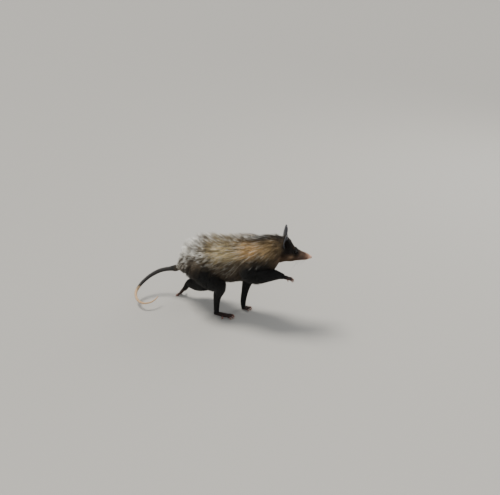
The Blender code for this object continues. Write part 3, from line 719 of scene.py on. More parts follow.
def ripple(points: Array, size: float, seed: int = 0) -> Array:
    """A smooth random field from about -1 to 1, whose patches are about this size, in centimetres."""
    draw = np.random.default_rng(seed)
    ways = unit(draw.normal(size=(9, 3)))
    turns = draw.uniform(0, 2 * math.pi, 9)
    scales = draw.uniform(0.7, 1.5, 9)
    waves = np.sin(points @ ways.T * (2 * math.pi / size / 2) * scales + turns)
    return waves.sum(axis=1) / 3.4


@dataclass(frozen=True)
class Patch:
    """A soft patch of colour on the body.

    Attributes:
        colour: its colour.
        place: its middle along the spine.
        rise: its middle's height round the section, from -1 at the belly to 1 on the back.
        long: how far it reaches along the spine.
        tall: how far it reaches round the section.
        strength: how much of the colour shows at its middle.
    """

    colour: str
    place: float
    rise: float
    long: float
    tall: float
    strength: float


@dataclass(frozen=True)
class Markings:
    """The animal's markings, read alike by the skin and by the coat, with painted shade on the lower flanks and along
    the mouth's slit.
    """

    patches: tuple[Patch, ...] = (
        Patch("#6F6049", 4.0, 0.0, 6.0, 1.3, 1.0),
        # The lower flank on both sides: the coat's own darker brown, deepened with painted shade from the light
        # above.
        Patch("#4A3B2A", 3.6, -0.62, 3.6, 0.36, 0.85),
        Patch("#92887A", 1.4, 0.8, 1.6, 0.7, 0.8),
        Patch("#DCC797", 4.35, 0.62, 1.35, 0.36, 0.92),
        Patch("#ECC283", 6.3, 0.66, 0.9, 0.34, 0.94),
        Patch("#CFAF7C", 7.75, 0.45, 0.85, 0.47, 0.92),
        Patch("#2B2018", 1.9, -0.32, 1.5, 0.5, 0.93),
        Patch("#15110E", 6.65, -0.32, 1.3, 0.66, 0.97),
        Patch("#2F261D", 4.2, -0.98, 3.2, 0.3, 0.7),
        Patch("#1F1B18", 7.2, 1.05, 1.7, 0.17, 0.97),
    )
    head_top: str = "#1A120C"
    cheek: str = "#3D2C1D"
    cheek_spot: str = "#94795F"
    eye_patch: str = "#14100D"
    muzzle: str = "#957560"
    snout: str = "#C59B82"
    pad: str = "#DBB098"
    lip: str = "#8A5348"
    # Painted shade for the slit between the lips.
    mouth_slit_shade: str = "#2A1210"
    leg: str = "#0B0A08"
    foot: str = "#33241F"
    toe: str = "#8E6659"
    tail_dark: str = "#35322F"
    tail_pale: str = "#D8B48A"

    def body(self, where: Places) -> Array:
        """The colours of the body and neck."""
        rise, place = np.sin(where.round_spine), where.near[:, SPINE_NUMBER]
        found = np.tile(linear("#6B5A44"), (len(rise), 1))
        for patch in self.patches:
            apart = ((place - patch.place) / patch.long) ** 2 + ((rise - patch.rise) / patch.tall) ** 2
            share = patch.strength * np.exp(-(apart**1.3))
            found = mixed(found, patch.colour, share)
        return found

    def head(self, points: Array) -> Array:
        """The colours of the head, in its own frame."""
        back, out, high = head_coordinates(points)
        found = mixed(np.tile(linear(self.cheek), (len(back), 1)), self.head_top, smooth(-0.6, 0.8, high))
        eye = np.sqrt((back - EYE_BACK) ** 2 * 0.7 + (np.abs(out) - EYE_OUT) ** 2 + (high - EYE_UP) ** 2)
        found = mixed(found, "#241A14", smooth(0.5, 0.0, np.abs(out)) * smooth(0.3, 0.9, high) * 0.8)
        brow = np.hypot(np.hypot(back - 5.0, np.abs(out) - 1.0), high - 1.75)
        found = mixed(found, "#6E5540", 0.45 * np.exp(-((brow / 0.5) ** 2)))
        spot = bump(back, 5.4, 0.95) * bump(high, -0.6, 0.6) * smooth(0.8, 1.5, np.abs(out))
        found = mixed(found, self.cheek_spot, 0.75 * spot)
        found = mixed(found, self.eye_patch, np.exp(-((eye / 0.85) ** 4)))
        found = mixed(found, self.muzzle, smooth(4.2, 2.6, back) * (0.75 - 0.3 * smooth(0.0, 0.8, high)))
        found = mixed(found, self.snout, smooth(2.3, 0.8, back))
        found = mixed(found, self.pad, smooth(0.75, 0.15, back) * 0.9)
        jaw = smooth(-0.7, -1.3, high) * smooth(1.0, 2.5, back)
        found = mixed(found, "#6B533D", 0.6 * jaw)
        found = mixed(found, self.lip, 0.8 * lip_share(points, 0.17) * (0.35 + 0.65 * smooth(4.6, 2.4, back)))
        # Painted shade: a thin dark line along the mouth's slit, in its sculpted groove.
        found = mixed(found, self.mouth_slit_shade, 0.9 * lip_share(points, 0.05))
        return found

    def colours(self, where: Places) -> Array:
        """The colour at each place, before the hair's own variation."""
        points = where.points
        uneven = where.place + 0.3 * ripple(points, 0.9, 4)
        head = smooth(HEAD_CUT - 1.2, HEAD_CUT + 0.7, uneven)[:, None] * where.is_on("spine")[:, None]
        found = self.body(where) * (1 - head) + self.head(points) * head
        for number, course in enumerate(COURSES):
            if course.name in LEG_ROWS:
                share = where.shares[:, number] * smooth(0.0, 1.3, where.near[:, number])
                found = mixed(found, self.leg, np.clip(share * (1.4 + 0.3 * ripple(points, 0.8, 6)), 0, 1))
        found = mixed(found, self.leg, where.is_on(*FEET) * 1.0)
        found = mixed(found, self.foot, self.bare_foot(where))
        found = mixed(found, self.toe, 0.75 * self.toe_share(points))
        tail = where.is_on("tail")
        bare = tail * smooth(1.4, 2.6, where.place)
        found = mixed(found, self.tail_dark, bare)
        found = mixed(found, self.tail_pale, tail * smooth(7.2, 8.0, where.place + 0.25 * ripple(points, 0.8, 3)))
        return found

    @staticmethod
    def bare_foot(where: Places) -> Array:
        """How bare each point's skin is, on the feet."""
        found = where.is_on(*FEET) * smooth(0.2, 1.6, where.place)
        underside = where.is_on(*FEET) * smooth(0.1, -0.3, np.sin(where.angle))
        return np.maximum(found, underside)

    @staticmethod
    def toe_share(points: Array) -> Array:
        """How near each point is to the tip of a digit."""
        found = np.zeros(len(points))
        for tip in TOE_TIPS:
            found = np.maximum(found, smooth(0.9, 0.15, np.linalg.norm(points - tip, axis=1)))
        return found


TOE_TIPS: list[Array] = []
MARKINGS = Markings()


def mixed(colours: Array, hex_colour: str, share: Array) -> Array:
    """Colours mixed towards one colour by a share for each."""
    share = np.asarray(share)[:, None]
    return colours * (1 - share) + np.array(linear(hex_colour)) * share


def head_coordinates(points: Array) -> tuple[Array, Array, Array]:
    """Points in the head's frame: how far back from the nose's tip, out to its left, and up."""
    axis = head_axis()
    left = unit(np.cross((0.0, 0.0, 1.0), axis))
    up = np.cross(axis, left)
    apart = points - NOSE_TIP
    return -(apart @ axis), apart @ left, apart @ up


MOUTH_ANGLE = math.radians(-31.0)
MOUTH_CORNER = 4.95


def mouth_offset(points: Array) -> tuple[Array, Array]:
    """How far points lie above the mouth's line, round the muzzle, and how far back they are."""
    back, out, high = head_coordinates(points)
    place = np.interp(back, HEAD_BACKS, HEAD_PLACES)
    rows = SPINE.at(place)
    angle = np.arctan2(high / rows[:, 5], np.abs(out) / rows[:, 3])
    radius = np.hypot(high, out)
    droop = math.radians(7.0) * smooth(3.6, 4.9, back)
    return (angle - MOUTH_ANGLE + droop) * radius, back


def lip_share(points: Array, width: float) -> Array:
    """How near points are to the line of the mouth."""
    above, back = mouth_offset(points)
    along = smooth(MOUTH_CORNER + 0.15, MOUTH_CORNER - 0.4, back) * smooth(0.1, 0.6, back)
    return np.exp(-((above / width) ** 2)) * along


HEAD_BACKS = np.array((0.1, 0.7, 1.6, 3.0, 4.4, 5.3, 6.2, 7.4))
HEAD_PLACES = np.array((16.0, 15.0, 14.0, 13.0, 12.0, 11.0, 10.0, 9.0))


# ---- skin ----
@dataclass
class Skin:
    """One skin over the whole body, inside the solids by the coat's depth.

    Attributes:
        voxel: the size of its first mesh, in centimetres.
        body_share: how much of that mesh is kept under the long coat.
        tail_share: how much is kept on the tail.
        head_share: how much is kept on the furred part of the head.
        feet_share: how much is kept on the feet.
        muzzle_share: how much is kept on the muzzle.
        feet: the feet's builders, kept for their claws.
    """

    voxel: float = 0.075
    body_share: float = 0.12
    tail_share: float = 0.35
    head_share: float = 0.4
    feet_share: float = 0.55
    muzzle_share: float = 0.75
    feet: list[FootBuilder] = field(default_factory=list)

    def build(self) -> bpy.types.Object:
        """Makes the flesh from courses and feet, joins it into one skin and shapes the head."""
        pieces = [lofted("trunk", self.trunk_rings())]
        for course in LEGS:
            places = np.linspace(0.0, course.last, int(course.last * 4) + 1)
            pieces.append(lofted(course.name, [course.ring(place, 20) for place in places]))
        places = np.linspace(0.0, TAIL.last, 90)
        pieces.append(lofted("tail", [TAIL.ring(place, 14) for place in places]))
        for name in FEET:
            foot = FootBuilder(name)
            pieces += foot.build()
            self.feet.append(foot)
            TOE_TIPS.extend(foot.toes)
        skin = join("skin", pieces)
        size = self.voxel * 1.0 * CM
        apply_modifier(skin, "REMESH", mode="VOXEL", voxel_size=size, use_smooth_shade=True)
        apply_modifier(skin, "SMOOTH", factor=0.5, iterations=1)
        weigh(skin, "soft", self.parts(points_of(skin)) != 3)
        apply_modifier(skin, "SMOOTH", factor=0.5, iterations=4, vertex_group="soft")
        skin.vertex_groups.clear()
        self.refined_muzzle(skin)
        points = self.sculpted(points_of(skin))
        points[:, 2] = np.maximum(points[:, 2], 0.0)
        set_points(skin, points)
        self.thinned(skin)
        return skin

    @staticmethod
    def trunk_rings() -> list[Array]:
        """The rings of the body and head."""
        places = np.concatenate((np.linspace(0.0, 8.0, 33), np.linspace(8.15, 16.0, 60)))
        return [SPINE.ring(place, 40) for place in places]

    @staticmethod
    def refined_muzzle(skin: bpy.types.Object) -> None:
        """Divides the faces of the muzzle and of the eyes' surrounds once more."""
        back, out, high = head_coordinates(points_of(skin))
        near = (back > -0.8) & (back < 5.2) & (np.hypot(out, high) < 1.9)
        corners = np.empty(len(skin.data.loops), np.int32)
        skin.data.loops.foreach_get("vertex_index", corners)
        starts = np.empty(len(skin.data.polygons), np.int32)
        skin.data.polygons.foreach_get("loop_start", starts)
        chosen = near[corners[starts]] & near[corners[starts + 2]]
        select(skin)
        bpy.ops.object.mode_set(mode="EDIT")
        bpy.ops.mesh.select_mode(type="FACE")
        bpy.ops.mesh.select_all(action="DESELECT")
        bpy.ops.object.mode_set(mode="OBJECT")
        skin.data.polygons.foreach_set("select", chosen)
        bpy.ops.object.mode_set(mode="EDIT")
        bpy.ops.mesh.subdivide(number_cuts=1, smoothness=0.0)
        bpy.ops.mesh.vertices_smooth(factor=0.5, repeat=2)
        bpy.ops.object.mode_set(mode="OBJECT")

    def sculpted(self, points: Array) -> Array:
        """Draws the face's forms into the skin's points.

        Args:
            points: the skin's points, in centimetres.

        Returns:
            The moved points.
        """
        back, out, high = head_coordinates(points)
        face = (back > -0.6) & (back < 8.0) & (np.hypot(out, high) < 4.5)
        part = points[face]
        back, out, high = back[face], out[face], high[face]
        axis = head_axis()
        left = unit(np.cross((0.0, 0.0, 1.0), axis))
        up = np.cross(axis, left)
        radial = unit(left * out[:, None] + up * high[:, None])
        above, _ = mouth_offset(part)
        along = smooth(MOUTH_CORNER + 0.1, MOUTH_CORNER - 0.3, back) * smooth(0.0, 0.5, back)
        push = -0.17 * np.exp(-((above / 0.06) ** 2)) * along
        push += 0.055 * np.exp(-(((above - 0.17) / 0.11) ** 2)) * along
        push += 0.045 * np.exp(-(((above + 0.17) / 0.11) ** 2)) * along
        # The whisker pads swell the upper lip, and the cheeks and the jaw's muscle swell behind the mouth.
        push += 0.11 * bump(back, 1.5, 0.9) * bump(above, 0.5, 0.42)
        push += 0.16 * bump(back, 6.0, 1.0) * bump(np.abs(out), 2.1, 0.9) * bump(high, -0.5, 1.0)
        # A low ridge runs from the eye to the nose, with a hollow under the eye's front corner.
        push -= 0.07 * bump(back, 3.55, 0.5) * bump(np.abs(out), 0.95, 0.35) * bump(high, 0.3, 0.4)
        push += 0.05 * bump(np.abs(out), 0.42, 0.25) * smooth(0.2, 0.6, high) * bump(back, 2.8, 1.3)
        push -= 0.05 * bump(out, 0.0, 0.22) * smooth(0.2, 0.6, high) * bump(back, 4.6, 1.6)
        part = part + radial * push[:, None]
        part += axis * (-0.3 * smooth(-0.2, -0.42, high) * smooth(1.1, 0.3, back))[:, None]
        for side in Side:
            part = self.socketed(part, side)
        moved = points.copy()
        moved[face] = part
        return moved

    @staticmethod
    def socketed(points: Array, side: Side) -> Array:
        """Raises the brow and lids round one eye and sinks the socket behind the eyeball."""
        centre, out, _, _ = eye_frame(side)
        apart = points - centre
        distance = np.linalg.norm(apart, axis=1)
        facing = (apart @ out) / np.maximum(distance, 1e-6)
        flat = np.linalg.norm(apart - out * (apart @ out)[:, None], axis=1)
        raised = 0.1 * np.exp(-(((flat - 0.62) / 0.2) ** 2)) * (facing > -0.2)
        points = points + out * raised[:, None]
        apart = points - centre
        sunk = (flat < 0.44) & (distance < 1.2)
        depth = -0.28 - apart @ out
        return points + out * np.where(sunk, np.minimum(depth, 0.0), 0.0)[:, None]

    def thinned(self, skin: bpy.types.Object) -> None:
        """Thins the mesh where the coat hides it, and less on the head, the feet and the tail."""
        shares = (self.body_share, self.tail_share, self.head_share, self.feet_share, self.muzzle_share)
        for part, share in enumerate(shares):
            mask = self.parts(points_of(skin)) == part
            sizes = np.empty(len(skin.data.polygons), np.int32)
            skin.data.polygons.foreach_get("loop_total", sizes)
            total = int((sizes - 2).sum())
            inside = 2 * int(mask.sum())
            weigh(skin, "thinned", mask)
            apply_modifier(
                skin,
                "DECIMATE",
                ratio=max(0.01, 1 - inside * (1 - share) / total),
                vertex_group="thinned",
                vertex_group_factor=1.0,
                use_collapse_triangulate=True,
            )
            skin.vertex_groups.clear()

    @staticmethod
    def parts(points: Array) -> Array:
        """The part that each point is in: 0 the body, 1 the tail, 2 the furred head, 3 the feet, 4 the muzzle."""
        back, out, high = head_coordinates(points)
        flat = np.hypot(out, high)
        found = np.zeros(len(points), int)
        found[(back < 6.2) & (flat < 4.0)] = 2
        found[(back < 5.25) & (flat < 1.95)] = 4
        for name in FEET:
            centre = np.array(FEET[name][0]) + (0.0, MIDLINE, 0.0)
            found[np.linalg.norm(points - centre, axis=1) < 3.6] = 3
        found[points[:, 0] < -16.6] = 1
        return found

    @staticmethod
    def dressed(skin: bpy.types.Object, material: bpy.types.Material) -> None:
        """Writes the skin's colour and the masks of its bare parts."""
        points = points_of(skin)
        where = Places.of(points)
        tint = MARKINGS.colours(where)
        furred = 1 - np.clip(MARKINGS.bare_foot(where) + where.is_on("tail") * smooth(1.2, 2.2, where.place), 0, 1)
        back, _, _ = head_coordinates(points)
        furred *= np.where(where.is_on("spine") & (where.place > 13), smooth(0.7, 2.2, back), 1.0)
        # Painted shade: where fur covers it, the skin is a quarter darker than the coat's colour.
        tint = tint * (1 - 0.25 * furred[:, None])
        set_attribute(skin, "tint", "FLOAT_COLOR", np.column_stack((tint, np.ones(len(tint)))))
        scales = where.is_on("tail") * smooth(1.4, 2.4, where.place)
        set_attribute(skin, "scales", "FLOAT", scales)
        set_attribute(skin, "grain", "FLOAT", np.clip(MARKINGS.bare_foot(where), 0, 1))
        set_attribute(skin, "along", "FLOAT", length_along(where))
        skin.data.materials.clear()
        skin.data.materials.append(material)
        skin.data.shade_smooth()


def length_along(where: Places) -> Array:
    """How far along the tail each point lies, in metres."""
    samples = np.linspace(0.0, TAIL.last, 400)
    steps = np.linalg.norm(np.diff(TAIL.at(samples)[:, :3], axis=0), axis=1)
    lengths = np.concatenate(((0.0,), np.cumsum(steps)))
    return np.interp(where.near[:, TAIL_NUMBER], samples, lengths) * CM


def bump(values: Array, middle: float, reach: float) -> Array:
    """A soft bump of height 1 about a middle."""
    return np.exp(-(((np.asarray(values) - middle) / reach) ** 2))


def eye_frame(side: Side) -> tuple[Array, Array, Array, Array]:
    """An eye's centre and its directions out of the head, towards the nose and up."""
    axis = head_axis()
    left = unit(np.cross((0.0, 0.0, 1.0), axis))
    up = np.cross(axis, left)
    centre = NOSE_TIP - axis * EYE_BACK + left * EYE_OUT * side.value + up * EYE_UP
    out = unit(left * side.value * 0.86 + up * 0.42 + axis * 0.3)
    along = unit(axis - out * (axis @ out))
    high = np.cross(out, along)
    return centre, out, along, high if high @ up > 0 else -high


# ---- eyes and lids ----
@dataclass(frozen=True)
class Eye:
    """A dark round eye with its lids."""

    side: Side
    half_long: float = 0.41
    half_high: float = 0.345

    def ball(self) -> bpy.types.Object:
        """The eyeball, a ball whose clear front bulges a little."""
        centre, out, _, _ = eye_frame(self.side)
        deselect()
        bpy.ops.mesh.primitive_uv_sphere_add(segments=48, ring_count=32, radius=EYE_RADIUS * CM)
        found = bpy.context.object
        found.name = f"eye_{self.side.name.lower()}_ball"
        points = points_of(found)
        front = unit(points) @ out
        points += out * (0.035 * smooth(0.72, 0.98, front))[:, None]
        set_points(found, points + centre)
        set_attribute(found, "front", "FLOAT", front)
        found.data.shade_smooth()
        return found

    def lids(self) -> bpy.types.Object:
        """The lids as a ring with a soft edge, rolled over the eyeball and sunk into the face."""
        centre, out, along, high = eye_frame(self.side)
        angles = np.arange(56) * 2 * math.pi / 56
        pointed = 1 + 0.16 * np.clip(np.cos(angles), 0, 1) ** 6
        rings = []
        # Each ring: its share of the opening, its distance from the eye's centre, and a lift along the way out
        for share, radius, lift in (
            (0.93, 0.455, 0.0),
            (0.97, 0.49, 0.0),
            (1.06, 0.515, 0.0),
            (1.13, 0.51, -0.01),
            (1.25, 0.0, 0.13),
            (1.5, 0.0, -0.02),
            (1.8, 0.0, -0.35),
        ):
            flat = along * (self.half_long * share * pointed * np.cos(angles))[:, None]
            flat = flat + high * (self.half_high * share * np.sin(angles))[:, None]
            spread = np.linalg.norm(flat, axis=1)
            rise = np.sqrt(np.maximum(radius**2 - spread**2, 0.0)) if radius else np.full(56, 0.0)
            rings.append(centre + flat + out * (rise + lift)[:, None])
        rings.append(rings[-1] * 0.5 + (centre - out * 0.5) * 0.5)
        rings.append(rings[0] - out * 0.25)
        count = len(rings)
        faces = []
        for i in range(count):
            for j in range(56):
                a, b = i * 56 + j, i * 56 + (j + 1) % 56
                c, d = (i + 1) % count * 56 + (j + 1) % 56, (i + 1) % count * 56 + j
                faces.append([a, b, c, d])
        found = mesh_object(f"lids_{self.side.name.lower()}", np.concatenate(rings), faces)
        select(found)
        bpy.ops.object.mode_set(mode="EDIT")
        bpy.ops.mesh.select_all(action="SELECT")
        bpy.ops.mesh.normals_make_consistent(inside=False)
        bpy.ops.object.mode_set(mode="OBJECT")
        apply_modifier(found, "SUBSURF", levels=1, render_levels=1)
        return found


# ---- ears ----
@dataclass(frozen=True)
class Ear:
    """A thin, bare, cupped ear with folds inside it.

    Attributes:
        side: which ear it is.
        length: its length.
        width: its width.
        thick: how thick its leather is.
    """

    side: Side
    length: float = 4.3
    width: float = 3.3
    thick: float = 0.07

    def build(self) -> bpy.types.Object:
        """Makes the ear from a grid that is curved, folded and given its thickness."""
        deselect()
        bpy.ops.mesh.primitive_grid_add(x_subdivisions=36, y_subdivisions=44, size=2 * CM)
        found = bpy.context.object
        found.name = f"ear_{self.side.name.lower()}_skin"
        flat = points_of(found)
        set_points(found, self.shaped(flat[:, 0], (flat[:, 1] + 1) / 2))
        apply_modifier(found, "SOLIDIFY", thickness=self.thick * CM, offset=-1.0, use_rim=True)
        apply_modifier(found, "SUBSURF", levels=1, render_levels=1)
        found.data.shade_smooth()
        return found

    def shaped(self, across: Array, rise: Array) -> Array:
        """The ear's inner surface.

        Args:
            across: -1 at one edge to 1 at the other.
            rise: 0 at the root to 1 at the tip.

        Returns:
            The points.
        """
        axis = head_axis()
        left = unit(np.cross((0.0, 0.0, 1.0), axis))
        up = np.cross(axis, left)
        side = self.side.value
        base = NOSE_TIP - axis * 7.9 + left * 1.9 * side + up * 2.3
        stand = unit(up * 0.86 + left * side * 0.48 - axis * 0.12)
        face = unit(axis * 0.93 + left * side * 0.28 + up * 0.1)
        way = unit(np.cross(stand, face))
        face = unit(np.cross(way, stand))
        half = self.width / 2 * np.sin(math.pi * (0.13 + 0.8 * rise)) ** 0.75
        cup = 0.55 * (1 - rise * 0.45) * across**2 - 0.25 * np.sin(math.pi * rise)
        # Two folds rise from the root inside the cup, and fine creases cross the outer half.
        folds = 0.12 * bump(across, -0.35 + 0.0 * rise, 0.12) * smooth(0.55, 0.15, rise)
        folds += 0.1 * bump(across, 0.3, 0.1) * smooth(0.48, 0.1, rise)
        creases = 0.014 * np.sin(rise * 46 + 2.2 * across**2) * smooth(0.95, 0.6, np.abs(across))
        creases *= smooth(0.08, 0.3, rise) * smooth(0.92, 0.6, rise)
        edge = 0.06 * smooth(0.86, 1.0, np.abs(across))
        wave = 0.04 * np.sin(rise * 9.0 + side) * across**2
        lift = cup + folds + creases - edge + wave
        tall = self.length * (rise - 0.1) * (1 - 0.1 * across**2)
        return base + stand * tall[:, None] + way * (half * across)[:, None] + face * lift[:, None]


# ---- nose ----
@dataclass(frozen=True)
class Nose:
    """The bare moist pad at the tip of the snout, with its two nostrils."""

    half_wide: float = 0.48
    half_high: float = 0.42
    half_long: float = 0.46

    def build(self) -> bpy.types.Object:
        """Makes the pad from a sphere, with a groove down its middle and a comma-shaped nostril each side."""
        deselect()
        bpy.ops.mesh.primitive_uv_sphere_add(segments=96, ring_count=64, radius=CM)
        found = bpy.context.object
        found.name = "nose_pad"
        axis = head_axis()
        left = unit(np.cross((0.0, 0.0, 1.0), axis))
        up = np.cross(axis, left)
        ball = unit(points_of(found))
        front, out, high = ball[:, 0], ball[:, 1], ball[:, 2]
        square = 1 + 0.1 * (np.abs(out) * np.abs(high))
        depth = np.zeros(len(ball))
        depth += 0.1 * bump(out, 0.0, 0.09) * smooth(0.2, 0.7, front) * smooth(0.75, 0.2, high)
        for side in Side:
            aside = out * side.value
            # The nostril is a round hole in front that runs on as a slit up and back round the side.
            hole = bump(np.hypot(aside - 0.5, (high - 0.02) * 1.1), 0.0, 0.2)
            slit = bump(high - 0.12 - 0.35 * (aside - 0.6), 0.0, 0.1) * smooth(0.5, 0.7, aside) * smooth(1.0, 0.85, aside)
            depth += (0.42 * hole + 0.16 * slit) * smooth(-0.1, 0.35, front)
            depth -= 0.05 * bump(np.hypot(aside - 0.55, high - 0.3), 0.0, 0.25) * smooth(0.0, 0.5, front)
        scaled = axis * (front * self.half_long * (1 - depth))[:, None]
        scaled = scaled + left * (out * self.half_wide * square * (1 - 0.25 * depth))[:, None]
        scaled = scaled + up * (high * self.half_high * square)[:, None]
        centre = NOSE_TIP - axis * 0.24 + up * 0.03
        set_points(found, centre + scaled)
        # How deep each point lies in the nostrils and the groove, which the pad's material paints as shade.
        set_attribute(found, "hollow", "FLOAT", np.clip(depth / 0.3, 0, 1))
        found.data.shade_smooth()
        return found


# ---- claws ----
@dataclass(frozen=True)
class ClawMaker:
    """Curved horn claws, one modelled and the rest copied."""

    def build(self, frames: list[tuple[Array, Array, Array, float]]) -> bpy.types.Object:
        """Makes one claw and sets a copy of it on each clawed digit."""
        deselect()
        bpy.ops.mesh.primitive_cone_add(vertices=14, radius1=0.2, radius2=0.02, depth=1.0, location=(0, 0, 0.5))
        first = bpy.context.object
        bpy.ops.object.transform_apply(location=True, rotation=True, scale=True)
        bpy.ops.object.mode_set(mode="EDIT")
        bpy.ops.mesh.select_all(action="SELECT")
        bpy.ops.mesh.subdivide(number_cuts=4)
        bpy.ops.object.mode_set(mode="OBJECT")
        shape = points_of(first) * CM
        copies = []
        for root, way, up, length in frames:
            claw = first.copy()
            claw.data = first.data.copy()
            bpy.context.scene.collection.objects.link(claw)
            copies.append(claw)
            side = np.cross(up, way)
            t = shape[:, 2]
            width = length * 0.62
            drop = -0.42 * length * t**2
            points = root - way * 0.05 + way * (length * t)[:, None] + side * (shape[:, 0] * width)[:, None]
            points = points + up * (shape[:, 1] * width * 1.25 + drop)[:, None]
            set_points(claw, points)
        bpy.data.objects.remove(first)
        claws = join("claws", copies)
        select(claws)
        bpy.ops.object.mode_set(mode="EDIT")
        bpy.ops.mesh.select_all(action="SELECT")
        bpy.ops.mesh.normals_make_consistent(inside=False)
        bpy.ops.object.mode_set(mode="OBJECT")
        claws.data.shade_smooth()
        return claws


# ---- coat ----
@dataclass
class Tufts:
    """The numbers of many tufts at once, in centimetres."""

    root: Array
    normal: Array
    lay: Array
    length: Array
    first_slope: Array
    last_slope: Array
    half: Array
    uv: Array
    low: Array
    middle: Array
    tip: Array
    bend: Array

    def shares(self, rings: int) -> Array:
        """How far along the tuft its rings stand."""
        return {3: np.array((0.0, 0.38, 0.74, 1.0)), 2: np.array((0.0, 0.5, 1.0))}[rings]

    def build(self, name: str, rings: int, material: bpy.types.Material) -> bpy.types.Object:
        """Makes the tufts as closed, tapered, three-sided blades.

        Args:
            name: the piece's name.
            rings: how many rings each blade has below its tip.
            material: its finish.

        Returns:
            The piece.
        """
        count = len(self.root)
        side = unit(np.cross(self.normal, self.lay))
        shares = self.shares(rings)
        widths = np.interp(shares, (0.0, 0.35, 0.75, 1.0), (0.65, 1.0, 0.72, 0.0))
        points = np.empty((count, rings * 3 + 1, 3))
        tints = np.empty((count, rings * 3 + 1, 3))
        steps = 16
        for i, share in enumerate(shares):
            t = (np.arange(steps) + 0.5) / steps * share
            slope = self.first_slope[:, None] + (self.last_slope - self.first_slope)[:, None] * t
            run = np.cos(slope).sum(axis=1) * share / steps * self.length
            rise = np.sin(slope).sum(axis=1) * share / steps * self.length - 0.04 * (i == 0)
            centre = self.root + self.lay * run[:, None] + self.normal * rise[:, None]
            centre = centre + side * (self.bend * share * share * self.length)[:, None]
            colour = blend_three(self.low, self.middle, self.tip, share)
            if i == rings:
                points[:, -1] = centre
                tints[:, -1] = colour
                continue
            half = (self.half * widths[i])[:, None]
            flat = unit(self.normal - self.lay * np.sin(slope.mean(axis=1))[:, None] * 0.5)
            points[:, i * 3] = centre + side * half
            points[:, i * 3 + 1] = centre + flat * half * 0.55
            points[:, i * 3 + 2] = centre - side * half
            tints[:, i * 3 : i * 3 + 3] = colour[:, None, :]
        triangles = self.faces(rings)
        size = rings * 3 + 1
        every = (triangles[None] + (np.arange(count) * size)[:, None, None]).reshape(-1, 3)
        found = mesh_object(name, points.reshape(-1, 3), every)
        tints = np.concatenate((tints, np.ones((count, size, 1))), axis=2)
        set_attribute(found, "tint", "FLOAT_COLOR", tints.reshape(-1, 4))
        self.unwrap(found, rings, size, every)
        found.data.materials.append(material)
        found.data.shade_smooth()
        return found

    def unwrap(self, thing: bpy.types.Object, rings: int, size: int, triangles: Array) -> None:
        """Writes each tuft's patch, about 0.003 across, at its root's place on the skin's unwrap."""
        local = np.empty((size, 2))
        for i in range(rings):
            for j in range(3):
                local[i * 3 + j] = (0.003 * j / 2, 0.003 * i / rings)
        local[-1] = (0.0015, 0.003)
        patch = (self.uv[:, None, :] + local[None]).reshape(-1, 2)
        layer = thing.data.uv_layers.new(name="OFBake")
        layer.data.foreach_set("uv", patch[triangles.reshape(-1)].astype(np.float32).ravel())

    @staticmethod
    def faces(rings: int) -> Array:
        """The triangles of one blade."""
        found = [(0, 1, 2)]
        for i in range(rings - 1):
            for j in range(3):
                a, b = i * 3 + j, i * 3 + (j + 1) % 3
                found += [(a, a + 3, b), (b, a + 3, b + 3)]
        last = (rings - 1) * 3
        found += [(last + j, rings * 3, last + (j + 1) % 3) for j in range(3)]
        return np.array(found)


def blend_three(low: Array, middle: Array, tip: Array, share: float) -> Array:
    """A colour that runs from low through middle to tip."""
    if share < 0.5:
        return low + (middle - low) * share * 2
    return middle + (tip - middle) * (share - 0.5) * 2


@dataclass(frozen=True)
class CoatPlan:
    """How one zone is haired.

    Attributes:
        density: tufts for each square centimetre.
        half: half a tuft's width.
        rings: how many rings a tuft has.
        slot: a name for its finish; it is not used.
        under: which share of the tufts are shorter underfur.
    """

    density: float
    half: float
    rings: int
    slot: str
    under: float = 0.35


PLANS = {
    Zone.BACK: CoatPlan(66.0, 0.05, 3, "body_fur"),
    Zone.FLANK_RIGHT: CoatPlan(72.0, 0.046, 3, "body_fur"),
    Zone.FLANK_LEFT: CoatPlan(72.0, 0.046, 3, "body_fur"),
    Zone.BELLY: CoatPlan(50.0, 0.052, 3, "body_fur"),
    Zone.NECK: CoatPlan(75.0, 0.042, 3, "body_fur"),
    Zone.HEAD: CoatPlan(230.0, 0.024, 2, "face_fur", 0.2),
    Zone.HIND_LEGS: CoatPlan(55.0, 0.042, 2, "leg_fur", 0.3),
    Zone.FORELEGS: CoatPlan(68.0, 0.036, 2, "leg_fur", 0.3),
    Zone.FEET: CoatPlan(70.0, 0.016, 2, "foot_skin", 0.0),
    Zone.TAIL: CoatPlan(30.0, 0.014, 2, "tail_dark_skin", 0.0),
}
BODY_ZONES = (Zone.BACK, Zone.FLANK_RIGHT, Zone.FLANK_LEFT, Zone.BELLY, Zone.NECK)


